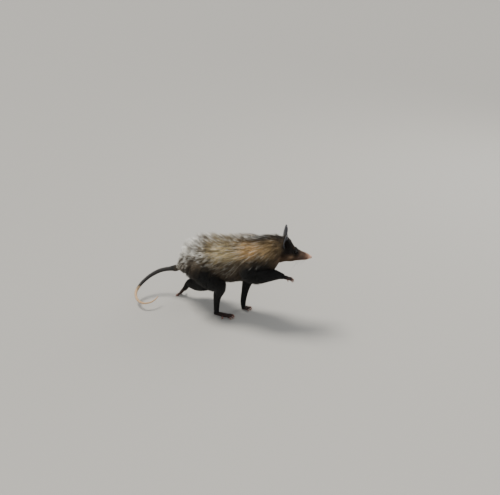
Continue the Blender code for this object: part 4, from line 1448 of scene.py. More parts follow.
@dataclass
class Coat:
    """The whole coat: tufts rooted on the skin, each along the lie of the hair at its root."""

    skin: bpy.types.Object
    material: bpy.types.Material
    seed: int = 5

    def build(self) -> list[bpy.types.Object]:
        """Makes the coat's pieces, one or two for each zone."""
        draw = np.random.default_rng(self.seed)
        points, triangles, areas, normals = self.surface()
        middles = points[triangles].mean(axis=1)
        where = Places.of(middles)
        zones = self.zones(where)
        made = []
        for zone, plan in PLANS.items():
            share = 1.0
            weights = np.where(zones == list(Zone).index(zone), areas, 0.0) * self.bareness(where, middles, zone)
            count = int(weights.sum() * plan.density * share)
            if count < 10:
                continue
            chosen = self.spread(weights, count, draw)
            roots, out = self.on_faces(points, normals, triangles, chosen, draw)
            tufts = self.tufts(Places.of(roots), out, plan, zone, draw)
            limit = 195000 // (6 * plan.rings - 2)
            parts = -(-len(tufts.root) // limit)
            for number in range(parts):
                part = Tufts(**{key: value[number::parts] for key, value in vars(tufts).items()})
                name = zone.value if parts == 1 else f"{zone.value}_{number + 1}"
                piece = part.build(name, plan.rings, self.material)
                made.append(piece)
                LOG.info("%s: %d tufts, %d triangles", name, len(part.root), len(piece.data.polygons))
        return made

    def surface(self) -> tuple[Array, Array, Array, Array]:
        """The skin's points, triangles, their areas in square centimetres, and the normals."""
        mesh = self.skin.data
        mesh.calc_loop_triangles()
        triangles = np.empty(len(mesh.loop_triangles) * 3, np.int32)
        mesh.loop_triangles.foreach_get("vertices", triangles)
        triangles = triangles.reshape(-1, 3)
        points = points_of(self.skin)
        a, b, c = (points[triangles[:, i]] for i in range(3))
        areas = np.linalg.norm(np.cross(b - a, c - a), axis=1) / 2
        return points, triangles, areas, normals_of(self.skin)

    @staticmethod
    def spread(weights: Array, count: int, draw: np.random.Generator) -> Array:
        """Picks faces in even steps through their summed weights, so that the tufts are spread evenly."""
        total = np.cumsum(weights)
        marks = (np.arange(count) + draw.uniform(0, 1, count)) / count * total[-1]
        return np.minimum(np.searchsorted(total, marks), len(weights) - 1)

    @staticmethod
    def on_faces(points: Array, normals: Array, triangles: Array, chosen: Array, draw: np.random.Generator) -> tuple:
        """A random point on each chosen face, and the smooth normal there."""
        first, second = draw.uniform(0, 1, (2, len(chosen)))
        over = first + second > 1
        first[over], second[over] = 1 - first[over], 1 - second[over]
        shares = np.column_stack((1 - first - second, first, second))[:, :, None]
        corners = triangles[chosen]
        return (points[corners] * shares).sum(axis=1), unit((normals[corners] * shares).sum(axis=1))

    @staticmethod
    def zones(where: Places) -> Array:
        """Which zone each place is in, as its number in Zone."""
        zone = {one: number for number, one in enumerate(Zone)}
        rise, across = np.sin(where.angle), np.cos(where.angle)
        found = np.full(len(rise), zone[Zone.BELLY])
        found[rise > -0.6] = np.where(across > 0, zone[Zone.FLANK_LEFT], zone[Zone.FLANK_RIGHT])[rise > -0.6]
        found[rise > 0.55] = zone[Zone.BACK]
        found[where.place > 6.7] = zone[Zone.NECK]
        found[where.place > 8.7] = zone[Zone.HEAD]
        found[where.is_on("hind_leg_right", "hind_leg_left")] = zone[Zone.HIND_LEGS]
        found[where.is_on("foreleg_right", "foreleg_left")] = zone[Zone.FORELEGS]
        found[where.is_on(*FEET)] = zone[Zone.FEET]
        found[where.is_on("tail")] = zone[Zone.TAIL]
        root = where.is_on("tail") & (where.place < 1.7)
        found[root] = zone[Zone.BACK]
        return found

    @staticmethod
    def bareness(where: Places, points: Array, zone: Zone) -> Array:
        """How much hair grows: less on the snout and feet, and none in the eyes or the mouth."""
        found = np.ones(len(points))
        if zone is Zone.HEAD:
            back, out, high = head_coordinates(points)
            found *= smooth(0.35, 1.2, back)
            found *= 1 + 1.2 * smooth(4.0, 2.0, back)
            found *= 1 - lip_share(points, 0.1)
            for side in Side:
                centre, _, _, _ = eye_frame(side)
                found *= smooth(0.5, 0.6, np.linalg.norm(points - centre, axis=1))
        if zone in (Zone.HIND_LEGS, Zone.FORELEGS):
            found *= 0.8 + 0.9 * smooth(1.0, 3.0, where.place)
        if zone is Zone.FEET:
            found *= smooth(-0.1, 0.35, np.sin(where.angle)) * (1 - 0.75 * smooth(0.8, 3.0, where.place))
            found *= smooth(0.2, 0.6, distance_to_toes(points)) * (points[:, 2] > 0.3)
        if zone is Zone.TAIL:
            found *= smooth(13.0, 9.0, where.place) * 0.8 + 0.2 + 5.0 * smooth(3.6, 1.8, where.place)
        return found

    def tufts(self, where: Places, out: Array, plan: CoatPlan, zone: Zone, draw: np.random.Generator) -> Tufts:
        """The tufts of one zone.

        Args:
            where: the roots' places.
            out: the skin's normals there.
            plan: how the zone is haired.
            zone: the zone.
            draw: the random source.

        Returns:
            Their numbers.
        """
        points = where.points
        count = len(points)
        height, slope = self.heights(where, zone)
        under = draw.uniform(0, 1, count) < plan.under
        slope = slope * np.where(under, 0.9, 1.0) * (1 + 0.14 * ripple(points, 1.6, 11)) * draw.uniform(0.85, 1.15, count)
        slope = np.clip(slope, math.radians(8), math.radians(78))
        lay, sure = self.lie(where, out, draw)
        lay, uneven, shade = self.clumped(points, out, lay, height / np.tan(slope), zone, draw)
        run = height / np.tan(slope)
        if zone in BODY_ZONES:
            run, height = self.kept_inside(where, out, lay, run, height)
        share = np.where(under, 0.62, draw.uniform(0.84, 1.06, count) * uneven)
        # Where the hair's way runs almost straight out of the skin, on the chest and shoulders, it is short.
        front = np.where(where.is_on("spine"), smooth(5.0, 6.5, where.place), 1.0)
        share = share * (1 - 0.6 * front * smooth(0.6, 0.2, sure))
        run, height = run * share, height * share
        low_tips = points[:, 2] + (lay * run[:, None] + out * height[:, None])[:, 2]
        fits = np.clip((points[:, 2] - 0.05) / np.maximum(points[:, 2] - low_tips, 0.01), 0.1, 1.0)
        run, height = run * fits, height * fits
        slope = np.arctan2(height, run)
        length = np.minimum(np.hypot(run, height), 6.5)
        half = plan.half * draw.uniform(0.7, 1.25, count) * np.where(under, 1.15, 1.0)
        if zone is Zone.TAIL:
            half = half * (1 + 1.6 * smooth(3.4, 1.8, where.place))
        if zone is Zone.HEAD:
            half = half * (0.6 + 0.7 * smooth(1.5, 7.0, head_coordinates(points)[0]))
        if zone in (Zone.HIND_LEGS, Zone.FORELEGS):
            half = half * (1.25 - 0.5 * smooth(1.0, 5.0, where.place))
        stand = smooth(math.radians(26), math.radians(46), slope)
        shown = where.moved(points + lay * (run * 0.6)[:, None] + out * (height * 0.6)[:, None])
        low, middle, tip = self.hair_colours(shown, under, shade, zone, draw)
        # The hair rises from its root and then lies over. On the legs it bends back to the skin.
        rising, lying = (1.95, -0.3) if zone in (Zone.HIND_LEGS, Zone.FORELEGS) else (1.45, 0.55)
        return Tufts(
            root=points,
            normal=out,
            lay=lay,
            length=length,
            first_slope=np.minimum(slope * (rising - 0.3 * stand), math.radians(80)),
            last_slope=slope * (lying + 0.3 * stand),
            half=half,
            uv=self.unwrapped(where, zone),
            low=low,
            middle=middle,
            tip=tip,
            bend=draw.normal(0, 0.05, count) + 0.05 * ripple(points, 2.2, 21),
        )

    @staticmethod
    def kept_inside(where: Places, out: Array, lay: Array, run: Array, height: Array) -> tuple[Array, Array]:
        """Lowers or shortens the hair so that its tips lie on the outline that the coat has where they end."""
        points = where.points
        for _ in range(3):
            tips = points + lay * run[:, None] + out * height[:, None]
            there = where.moved(tips)
            rows = SPINE.at(there.place)
            rise = np.sin(there.angle)
            tall = np.where(rise > 0, rows[:, 4], rows[:, 5])
            wanted = np.hypot(rows[:, 3] * np.cos(there.angle), tall * rise)
            wanted += 0.1 + rows[:, 6] * np.clip(rise, 0, 1) ** 2.5 + throat(there)
            over = np.linalg.norm(tips - rows[:, :3], axis=1) - wanted
            over = np.where(where.is_on("spine"), over, 0.0)
            lower = np.clip(height - 0.9 * over, 0.2 * height + 0.05, 1.6 * height + 0.2)
            left = np.maximum(over - (height - lower), 0.0)
            run = run * np.clip(1 - 0.5 * left / np.maximum(run, 0.3), 0.5, 1.0)
            height = lower
        return run, height

    @staticmethod
    def heights(where: Places, zone: Zone) -> tuple[Array, Array]:
        """How high the hair's tips stand over the skin, and its mean slope."""
        depth = np.zeros(len(where.points))
        for number, course in enumerate(COURSES):
            place = where.near[:, number]
            angle = where.angle if number == SPINE_NUMBER else 0 * where.angle
            depth += where.shares[:, number] * course.skin_depth(place, angle)
        rise = np.clip(np.sin(where.angle), 0, 1)
        crest = np.where(where.is_on("spine"), SPINE.at(where.place)[:, 6] * rise**2.5, 0.0)
        rump = smooth(4.4, 2.4, where.place) * where.is_on("spine")
        stand = np.clip(crest / 2.2 + 0.5 * rump * smooth(0.2, 0.8, rise), 0, 1)
        slope = np.radians(21 + 31 * stand + 24 * stand * rump)
        height = depth * 1.04 + 0.04 + crest + throat(where)
        if zone is Zone.HEAD:
            slope = np.radians(16 + 5 * smooth(5.0, 7.5, head_coordinates(where.points)[0]))
            height = depth * 1.05 + 0.02 + throat(where)
        if zone is Zone.TAIL:
            height = 0.07 + 0.3 * smooth(3.4, 1.6, where.place)
            slope = np.full(len(depth), math.radians(17))
        if zone is Zone.FEET:
            height = 0.1 - 0.05 * smooth(0.5, 3.0, where.place)
            slope = np.full(len(depth), math.radians(16))
        if zone in (Zone.HIND_LEGS, Zone.FORELEGS):
            height = np.maximum(depth * 1.02, 0.05)
            slope = np.radians(23 - 6 * smooth(1.0, 5.0, where.place))
        return height, slope

    @staticmethod
    def lie(where: Places, out: Array, draw: np.random.Generator) -> tuple[Array, Array]:
        """The way the hair lies: back along the body, down the sides, and down the legs.

        Args:
            where: the roots' places.
            out: the skin's normals there.
            draw: the random source.

        Returns:
            The directions, and how much of each way runs along the skin, from 0 to 1.
        """
        down = np.array((0.0, 0.0, -1.0))
        total = np.zeros((len(out), 3))
        for number, course in enumerate(COURSES):
            forward = course.forward(where.near[:, number])
            if number == SPINE_NUMBER:
                back = smooth(8.6, 9.6, where.place)[:, None]
                top = smooth(0.55, 0.98, np.sin(where.angle)) * (where.course == SPINE_NUMBER)
                raised = (top * smooth(0.5, 1.8, where.place))[:, None]
                way = -forward + down * 0.55 * (1 - back) * (1 - raised) + down * 0.12 * back
            elif course.name.startswith("hind_leg"):
                way = forward * 0.75 + np.array((-0.7, 0.0, -0.4))
            elif course.name == "foreleg_right":
                high = smooth(1.0, 3.0, where.near[:, number])[:, None]
                way = forward * 0.9 * high + np.array((-0.55, 0.0, -0.5)) * (1.2 - 0.8 * high)
            elif course.name == "foreleg_left":
                way = forward * 0.75 + np.array((-0.45, 0.0, -0.3))
            else:
                way = forward
            total += way * where.shares[:, number][:, None]
        total += 0.2 * np.column_stack([ripple(where.points, 2.6, seed) for seed in (31, 32, 33)])
        total += draw.normal(0, 0.1, total.shape)
        whole = np.linalg.norm(total, axis=1)
        total = total - out * np.einsum("ij,ij->i", total, out)[:, None]
        return unit(total), np.linalg.norm(total, axis=1) / np.maximum(whole, 1e-6)

    @staticmethod
    def clumped(points: Array, out: Array, lay: Array, run: Array, zone: Zone, draw: np.random.Generator) -> tuple:
        """Turns neighbouring tufts towards a shared tip, so that they lie in loose locks of uneven length."""
        if zone in (Zone.TAIL, Zone.HEAD, Zone.FEET) or len(points) < 100:
            return lay, 1.0, draw.uniform(0, 1, len(points))
        size, pull = (0.7, 0.5) if zone in (Zone.HIND_LEGS, Zone.FORELEGS) else (0.62, 0.75)
        count = max(20, int(len(points) / PLANS[zone].density / size**2))
        centres = draw.choice(len(points), count, replace=False)
        tree = KDTree(len(centres))
        for number, chosen in enumerate(centres):
            tree.insert(points[chosen], number)
        tree.balance()
        # A lock gathers hair from a patch that is three times as long as it is wide, along the lie.
        near = np.array([[found[1] for found in tree.find_n(point, 6)] for point in points])
        apart = points[centres[near]] - points[:, None, :]
        along = np.einsum("ijk,ik->ij", apart, lay)
        squared = np.einsum("ijk,ijk->ij", apart, apart) - along**2 * (1 - 1 / 9)
        nearest = centres[near[np.arange(len(points)), squared.argmin(axis=1)]]
        reach = run[:, None]
        shared = points[nearest] + lay[nearest] * reach
        pulled = pull * draw.uniform(0.5, 1.1, len(points))[:, None]
        towards = (points + lay * reach) * (1 - pulled) + shared * pulled - points
        towards = towards - out * np.einsum("ij,ij->i", towards, out)[:, None]
        lengths = draw.uniform(0.8, 1.16, len(points)) if zone in BODY_ZONES else np.ones(len(points))
        shades = draw.uniform(0, 1, len(points))
        return unit(towards), lengths[nearest], shades[nearest]

    @staticmethod
    def hair_colours(where: Places, under: Array, shade: Array, zone: Zone, draw: np.random.Generator) -> tuple:
        """The colours at a tuft's root, middle and tip.

        Args:
            where: the places where the hair shows.
            under: which tufts are underfur.
            shade: a number from 0 to 1 that the tufts of a lock share.
            zone: the zone.
            draw: the random source.

        Returns:
            The three colours of each tuft.
        """
        points = where.points
        base = MARKINGS.colours(where)
        count = len(points)
        lock = (0.5 + 0.4 * smooth(3.6, 2.0, where.place) * where.is_on("spine")) * (shade - 0.5)
        tone = np.exp(draw.normal(0, 0.15, count) + 0.12 * ripple(points, 1.3, 41) + lock)[:, None]
        # Painted shade: each tuft is darker at its root, as deep in the coat.
        low, middle, tip = base * 0.6, base.copy(), base * 1.05
        if zone in BODY_ZONES:
            rise = np.sin(where.angle)
            guard = ~under
            # White-tipped guard hairs are thick on the rump and mid-back, and fewer towards the shoulders.
            rump = smooth(3.2, 1.0, where.place) * smooth(-0.1, 0.6, rise)
            white = 0.16 + 0.5 * smooth(4.6, 1.6, where.place) * smooth(-0.3, 0.5, rise)
            white += 0.35 * rump
            white *= 1 - 0.75 * smooth(6.4, 7.6, where.place)
            white *= 1 - 0.75 * smooth(0.1, -0.6, rise)
            crest = smooth(0.965, 0.995, rise) * smooth(4.5, 5.5, where.place) * smooth(8.0, 7.0, where.place)
            legs = sum(where.shares[:, number] for number, one in enumerate(COURSES) if one.name in LEG_ROWS)
            white = np.where(where.is_on("tail"), 0.6, white + 0.3 * crest)
            white *= 1.55 * smooth(0.22, 0.55, shade + 0.1 * rump) * smooth(0.75, 0.15, legs)
            white *= 1 - 0.35 * smooth(0.5, 0.0, rise)
            lit = guard & (draw.uniform(0, 1, count) < white)
            pale = smooth(3.2, 4.2, where.place) * smooth(0.1, 0.45, rise) * smooth(0.97, 0.85, rise)
            dark = guard & ~lit & (draw.uniform(0, 1, count) < 0.5 - 0.4 * pale - 0.2 * rump)
            middle = mixed(middle, "#B2AFA4", 0.7 * lit * (1 - 0.8 * crest))
            faint = 0.3 * smooth(4.8, 6.2, where.place) * (1 - crest) + 0.25 * smooth(0.5, 0.0, rise)
            tip = mixed(tip, "#EDEBE3", (0.95 - faint) * lit)
            tip = mixed(tip, "#1E1B18", 0.75 * dark)
            middle = mixed(middle, "#2A2520", 0.5 * dark)
            # Painted shade: the roots on the rump are darker still, for the shadows in the gaps between its locks.
            low = mixed(low, "#2E2822", 0.4 * rump)
        return low * tone, middle * tone, tip * tone

    @staticmethod
    def unwrapped(where: Places, zone: Zone) -> Array:
        """The roots' places on an unwrap of the skin: along its course, and round it."""
        along = np.zeros(len(where.points))
        first = {1: 0.0, 2: 0.5, 3: 0.0, 4: 0.5}
        for number, course in enumerate(COURSES):
            here = where.course == number
            low, high = where.place[here].min(initial=course.last), where.place[here].max(initial=0.0)
            share = (where.place[here] - low) / max(high - low, 1e-3)
            along[here] = first.get(number, 0.0) + share * (0.46 if number in first else 0.98)
        round_way = where.angle / (2 * math.pi) + 0.5
        low, high = np.percentile(round_way, (0.1, 99.9))
        round_way = np.clip((round_way - low) / max(high - low, 1e-3), 0, 1)
        return np.column_stack((0.005 + along * 0.985, 0.005 + round_way * 0.985))


def throat(where: Places) -> Array:
    """How much longer the hair hangs under the throat."""
    under = smooth(-0.1, -0.8, np.sin(where.angle)) * where.is_on("spine")
    return 0.4 * bump(where.place, 8.9, 1.1) * under


def distance_to_toes(points: Array) -> Array:
    """The distance to the nearest tip of a digit."""
    found = np.full(len(points), 9.0)
    for tip in TOE_TIPS:
        found = np.minimum(found, np.linalg.norm(points - tip, axis=1))
    return found


# ---- whiskers ----
@dataclass(frozen=True)
class Whiskers:
    """Long thin feelers on the snout, the brows and the cheeks."""

    seed: int = 9

    def build(self, skin: bpy.types.Object) -> bpy.types.Object:
        """Makes every whisker as a thin tapered tube that bends back and down."""
        draw = np.random.default_rng(self.seed)
        axis = head_axis()
        left = unit(np.cross((0.0, 0.0, 1.0), axis))
        up = np.cross(axis, left)
        tree = skin_tree(skin)
        points, faces = [], []
        rows = [(0.95 + 0.42 * i, -0.28 + 0.24 * j, 2.2 + 1.0 * i) for i in range(5) for j in range(4)]
        rows += [(4.6, 1.9, 3.2), (4.9, 1.8, 2.8), (5.9, -0.9, 3.6), (6.1, -0.6, 3.2), (5.8, -0.3, 2.8)]
        for side in Side:
            for back, high, length in rows:
                start = NOSE_TIP - axis * (back + draw.uniform(-0.08, 0.08)) + up * (high + draw.uniform(-0.05, 0.05))
                aim = start + left * side.value * 3.0
                hit = tree.ray_cast(Vector(aim), Vector(-left * side.value))[0]
                if hit is None:
                    continue
                root = np.array(hit)
                way = unit(left * side.value * 0.8 - axis * draw.uniform(0.25, 0.6) + up * draw.uniform(-0.35, 0.2))
                self.add(points, faces, root, way, -up, length * draw.uniform(0.7, 1.05))
        found = mesh_object("whiskers", np.concatenate(points), faces)
        found.data.shade_smooth()
        return found

    @staticmethod
    def add(points: list, faces: list, root: Array, way: Array, fall: Array, length: float) -> None:
        """Adds one whisker as a three-sided tube that tapers to a point."""
        start = sum(len(part) for part in points)
        side = unit(np.cross(way, fall))
        other = np.cross(side, way)
        rings = 7
        ring_points = []
        for i in range(rings):
            t = i / rings
            centre = root - way * 0.05 + way * length * t + fall * length * 0.28 * t * t
            radius = 0.019 * (1 - 0.8 * t)
            for j in range(3):
                turn = 2 * math.pi * j / 3
                ring_points.append(centre + (side * math.cos(turn) + other * math.sin(turn)) * radius)
        ring_points.append(root + way * length + fall * length * 0.28)
        points.append(np.array(ring_points))
        faces.append([start, start + 2, start + 1])
        for i in range(rings - 1):
            for j in range(3):
                a, b = start + i * 3 + j, start + i * 3 + (j + 1) % 3
                faces.append([a, b, b + 3, a + 3])
        last = start + (rings - 1) * 3
        faces.extend([last + j, last + (j + 1) % 3, start + rings * 3] for j in range(3))


def skin_tree(skin: bpy.types.Object):
    """The skin as a search tree, in centimetres."""
    from mathutils.bvhtree import BVHTree

    mesh = skin.data
    mesh.calc_loop_triangles()
    triangles = np.empty(len(mesh.loop_triangles) * 3, np.int32)
    mesh.loop_triangles.foreach_get("vertices", triangles)
    return BVHTree.FromPolygons(points_of(skin).tolist(), triangles.reshape(-1, 3).tolist())


# ---- materials ----
def add_node(tree: bpy.types.NodeTree, kind: str, settings: dict | None = None, links: dict | None = None):
    """Adds one node with its settings and links.

    Args:
        tree: the node tree.
        kind: the node's type.
        settings: its properties and the values of its unlinked sockets.
        links: the output that each linked socket reads.

    Returns:
        The node.
    """
    made = tree.nodes.new(kind)
    for name, value in (settings or {}).items():
        if isinstance(name, str) and hasattr(made, name):
            setattr(made, name, value)
        else:
            made.inputs[name].default_value = value
    for name, output in (links or {}).items():
        tree.links.new(output, made.inputs[name])
    return made


def new_material(name: str) -> tuple[bpy.types.Material, bpy.types.NodeTree, bpy.types.Node]:
    """An empty material, its tree and its output."""
    made = bpy.data.materials.new(name)
    made.use_nodes = True
    made.node_tree.nodes.clear()
    return made, made.node_tree, made.node_tree.nodes.new("ShaderNodeOutputMaterial")


@dataclass(frozen=True)
class GuardHair:
    """Coarse guard hair, dry and weathered: it scatters light softly, with a faint sheen along each hair."""

    roughness: float = 0.58
    fleck_mm: float = 1.4

    def make(self) -> bpy.types.Material:
        """The coat's material. Its colour is each hair's own, and flecks vary it along the hair."""
        material, tree, output = new_material("guard_hair")
        place = add_node(tree, "ShaderNodeTexCoord")
        tint = add_node(tree, "ShaderNodeAttribute", {"attribute_name": "tint"})
        flecks = add_node(
            tree,
            "ShaderNodeTexNoise",
            {"Scale": 1000.0 / self.fleck_mm, "Detail": 2.0},
            {"Vector": place.outputs["Object"]},
        )
        vary = add_node(
            tree,
            "ShaderNodeMapRange",
            {"From Min": 0.3, "From Max": 0.7, "To Min": 0.78, "To Max": 1.2},
            {"Value": flecks.outputs["Fac"]},
        )
        colour = add_node(
            tree,
            "ShaderNodeVectorMath",
            {"operation": "SCALE"},
            {0: tint.outputs["Color"], "Scale": vary.outputs["Result"]},
        )
        shader = add_node(
            tree,
            "ShaderNodeBsdfPrincipled",
            {"Roughness": self.roughness, "Specular IOR Level": 0.28, "Sheen Weight": 0.04, "Sheen Roughness": 0.5},
            {"Base Color": colour.outputs["Vector"]},
        )
        tree.links.new(shader.outputs["BSDF"], output.inputs["Surface"])
        return material


@dataclass(frozen=True)
class Hide:
    """The animal's skin: matt under the fur, grained on the feet, and in rings of fine scales on the tail."""

    scale_mm: float = 1.0
    grain_mm: float = 0.6
    ring_mm: float = 1.3

    def make(self) -> bpy.types.Material:
        """The skin's material, whose bumps grow where its masks say that it is bare."""
        material, tree, output = new_material("bare_and_furred_hide")
        place = add_node(tree, "ShaderNodeTexCoord")
        tint = add_node(tree, "ShaderNodeAttribute", {"attribute_name": "tint"})
        scales = add_node(tree, "ShaderNodeAttribute", {"attribute_name": "scales"})
        grain = add_node(tree, "ShaderNodeAttribute", {"attribute_name": "grain"})
        along = add_node(tree, "ShaderNodeAttribute", {"attribute_name": "along"})
        cells = add_node(
            tree,
            "ShaderNodeTexVoronoi",
            {"feature": "DISTANCE_TO_EDGE", "Scale": 1000.0 / self.scale_mm},
            {"Vector": place.outputs["Object"]},
        )
        ring_phase = add_node(
            tree,
            "ShaderNodeMath",
            {"operation": "MULTIPLY", 1: 2 * math.pi * 1000.0 / self.ring_mm},
            {0: along.outputs["Fac"]},
        )
        rings = add_node(tree, "ShaderNodeMath", {"operation": "SINE"}, {0: ring_phase.outputs["Value"]})
        edge = add_node(
            tree,
            "ShaderNodeMapRange",
            {"From Min": 0.0, "From Max": 0.16, "To Min": 0.0, "To Max": 1.0},
            {"Value": cells.outputs["Distance"]},
        )
        ringed = add_node(
            tree,
            "ShaderNodeMath",
            {"operation": "MULTIPLY_ADD", 1: 0.45},
            {0: rings.outputs["Value"], 2: edge.outputs["Result"]},
        )
        scaled = add_node(
            tree,
            "ShaderNodeMath",
            {"operation": "MULTIPLY"},
            {0: ringed.outputs["Value"], 1: scales.outputs["Fac"]},
        )
        grains = add_node(
            tree,
            "ShaderNodeTexVoronoi",
            {"feature": "SMOOTH_F1", "Scale": 1000.0 / self.grain_mm},
            {"Vector": place.outputs["Object"]},
        )
        grained = add_node(
            tree,
            "ShaderNodeMath",
            {"operation": "MULTIPLY_ADD"},
            {0: grains.outputs["Distance"], 1: grain.outputs["Fac"], 2: scaled.outputs["Value"]},
        )
        fine = add_node(
            tree,
            "ShaderNodeTexNoise",
            {"Scale": 2200.0, "Detail": 3.0},
            {"Vector": place.outputs["Object"]},
        )
        height = add_node(
            tree,
            "ShaderNodeMath",
            {"operation": "MULTIPLY_ADD", 1: 0.35},
            {0: fine.outputs["Fac"], 2: grained.outputs["Value"]},
        )
        raised = add_node(
            tree,
            "ShaderNodeBump",
            {"Strength": 0.4, "Distance": 0.0004},
            {"Height": height.outputs["Value"]},
        )
        bare = add_node(
            tree,
            "ShaderNodeMath",
            {"operation": "ADD", "use_clamp": True},
            {0: scales.outputs["Fac"], 1: grain.outputs["Fac"]},
        )
        rough = add_node(
            tree,
            "ShaderNodeMapRange",
            {"From Min": 0.0, "From Max": 1.0, "To Min": 0.8, "To Max": 0.46},
            {"Value": bare.outputs["Value"]},
        )
        shade = add_node(
            tree,
            "ShaderNodeMapRange",
            {"From Min": 0.0, "From Max": 1.0, "To Min": 0.8, "To Max": 1.05},
            {"Value": edge.outputs["Result"]},
        )
        weight = add_node(
            tree,
            "ShaderNodeMix",
            {"data_type": "FLOAT", 2: 1.0},
            {0: scales.outputs["Fac"], 3: shade.outputs["Result"]},
        )
        colour = add_node(
            tree,
            "ShaderNodeVectorMath",
            {"operation": "SCALE"},
            {0: tint.outputs["Color"], "Scale": weight.outputs[0]},
        )
        shader = add_node(
            tree,
            "ShaderNodeBsdfPrincipled",
            {"Specular IOR Level": 0.28, "Subsurface Weight": 0.08, "Subsurface Scale": 0.003},
            {
                "Base Color": colour.outputs["Vector"],
                "Roughness": rough.outputs["Result"],
                "Normal": raised.outputs["Normal"],
            },
        )
        tree.links.new(shader.outputs["BSDF"], output.inputs["Surface"])
        return material


@dataclass(frozen=True)
class EarLeather:
    """Bare black ear skin, thin as glove leather: smooth, with a soft gloss and fine wrinkles."""

    colour: str = "#131315"
    wrinkle_mm: float = 0.7

    def make(self) -> bpy.types.Material:
        """The ears' material."""
        material, tree, output = new_material("bare_ear_skin")
        place = add_node(tree, "ShaderNodeTexCoord")
        wrinkles = add_node(
            tree,
            "ShaderNodeTexNoise",
            {"Scale": 1000.0 / self.wrinkle_mm, "Detail": 4.0, "Distortion": 0.6},
            {"Vector": place.outputs["Object"]},
        )
        tone = add_node(
            tree,
            "ShaderNodeValToRGB",
            {},
            {"Fac": wrinkles.outputs["Fac"]},
        )
        tone.color_ramp.elements[0].color = (*linear(self.colour), 1.0)
        tone.color_ramp.elements[1].color = (*linear("#26252A"), 1.0)
        raised = add_node(
            tree,
            "ShaderNodeBump",
            {"Strength": 0.3, "Distance": 0.0003},
            {"Height": wrinkles.outputs["Fac"]},
        )
        shader = add_node(
            tree,
            "ShaderNodeBsdfPrincipled",
            {
                "Roughness": 0.34,
                "Sheen Weight": 0.2,
                "Sheen Roughness": 0.35,
                "Sheen Tint": (0.78, 0.88, 1.0, 1.0),
            },
            {"Base Color": tone.outputs["Color"], "Normal": raised.outputs["Normal"]},
        )
        tree.links.new(shader.outputs["BSDF"], output.inputs["Surface"])
        return material


@dataclass(frozen=True)
class MoistSkin:
    """The nose's pebbled skin, kept moist: pink, with a wet gloss, and painted shade inside the nostrils, fainter
    down the groove between them.
    """

    colour: str = "#DAAE97"
    # The painted shade in the nostrils' hollows.
    deep: str = "#3A1B18"
    pebble_mm: float = 0.5

    def make(self) -> bpy.types.Material:
        """The nose pad's material."""
        material, tree, output = new_material("moist_nose_skin")
        place = add_node(tree, "ShaderNodeTexCoord")
        hollow = add_node(tree, "ShaderNodeAttribute", {"attribute_name": "hollow"})
        pebbles = add_node(
            tree,
            "ShaderNodeTexVoronoi",
            {"Scale": 1000.0 / self.pebble_mm},
            {"Vector": place.outputs["Object"]},
        )
        raised = add_node(
            tree,
            "ShaderNodeBump",
            {"Strength": 0.6, "Distance": 0.0003, "invert": True},
            {"Height": pebbles.outputs["Distance"]},
        )
        # Painted shade: the deeper the hollow, the darker the skin.
        tone = add_node(tree, "ShaderNodeValToRGB", {}, {"Fac": hollow.outputs["Fac"]})
        tone.color_ramp.elements[0].color = (*linear(self.colour), 1.0)
        tone.color_ramp.elements[1].color = (*linear(self.deep), 1.0)
        tone.color_ramp.elements[1].position = 0.85
        shader = add_node(
            tree,
            "ShaderNodeBsdfPrincipled",
            {"Roughness": 0.42, "Subsurface Weight": 0.15, "Subsurface Scale": 0.002, "Coat Weight": 0.15},
            {"Base Color": tone.outputs["Color"], "Normal": raised.outputs["Normal"]},
        )
        tree.links.new(shader.outputs["BSDF"], output.inputs["Surface"])
        return material


@dataclass(frozen=True)
class Horn:
    """Claw horn: pale, slightly clear and worn smooth, with a low gloss."""

    colour: str = "#B9A488"

    def make(self) -> bpy.types.Material:
        """The claws' material, streaked along their length."""
        material, tree, output = new_material("claw_horn")
        place = add_node(tree, "ShaderNodeTexCoord")
        streaks = add_node(
            tree,
            "ShaderNodeTexNoise",
            {"Scale": 900.0, "Detail": 2.0},
            {"Vector": place.outputs["Object"]},
        )
        tone = add_node(tree, "ShaderNodeValToRGB", {}, {"Fac": streaks.outputs["Fac"]})
        tone.color_ramp.elements[0].color = (*linear("#8C7459"), 1.0)
        tone.color_ramp.elements[1].color = (*linear(self.colour), 1.0)
        shader = add_node(
            tree,
            "ShaderNodeBsdfPrincipled",
            {"Roughness": 0.35, "Subsurface Weight": 0.1, "Subsurface Scale": 0.001},
            {"Base Color": tone.outputs["Color"]},
        )
        tree.links.new(shader.outputs["BSDF"], output.inputs["Surface"])
        return material


@dataclass(frozen=True)
class WetEye:
    """The eye: nearly black brown under a wet, clear cornea that mirrors the light."""

    iris: str = "#1E120B"
    pupil: str = "#030302"

    def make(self) -> bpy.types.Material:
        """The eyes' material."""
        material, tree, output = new_material("wet_cornea")
        front = add_node(tree, "ShaderNodeAttribute", {"attribute_name": "front"})
        tone = add_node(tree, "ShaderNodeValToRGB", {}, {"Fac": front.outputs["Fac"]})
        tone.color_ramp.elements[0].color = (*linear("#2A1B14"), 1.0)
        tone.color_ramp.elements[0].position = 0.2
        tone.color_ramp.elements[1].color = (*linear(self.pupil), 1.0)
        tone.color_ramp.elements[1].position = 0.9
        middle = tone.color_ramp.elements.new(0.72)
        middle.color = (*linear(self.iris), 1.0)
        shader = add_node(
            tree,
            "ShaderNodeBsdfPrincipled",
            {"Roughness": 0.25, "Specular IOR Level": 0.05, "Coat Weight": 0.75, "Coat Roughness": 0.02, "Coat IOR": 1.376},
            {"Base Color": tone.outputs["Color"]},
        )
        tree.links.new(shader.outputs["BSDF"], output.inputs["Surface"])
        return material


@dataclass(frozen=True)
class PlainMatt:
    """One plain matt finish, for the studio's floor and for the whiskers' stiff horn."""

    name: str
    colour: str
    roughness: float
    gloss: float = 0.5

    def make(self) -> bpy.types.Material:
        """The material."""
        material, tree, output = new_material(self.name)
        shader = add_node(
            tree,
            "ShaderNodeBsdfPrincipled",
            {
                "Base Color": (*linear(self.colour), 1.0),
                "Roughness": self.roughness,
                "Specular IOR Level": self.gloss,
            },
        )
        tree.links.new(shader.outputs["BSDF"], output.inputs["Surface"])
        return material


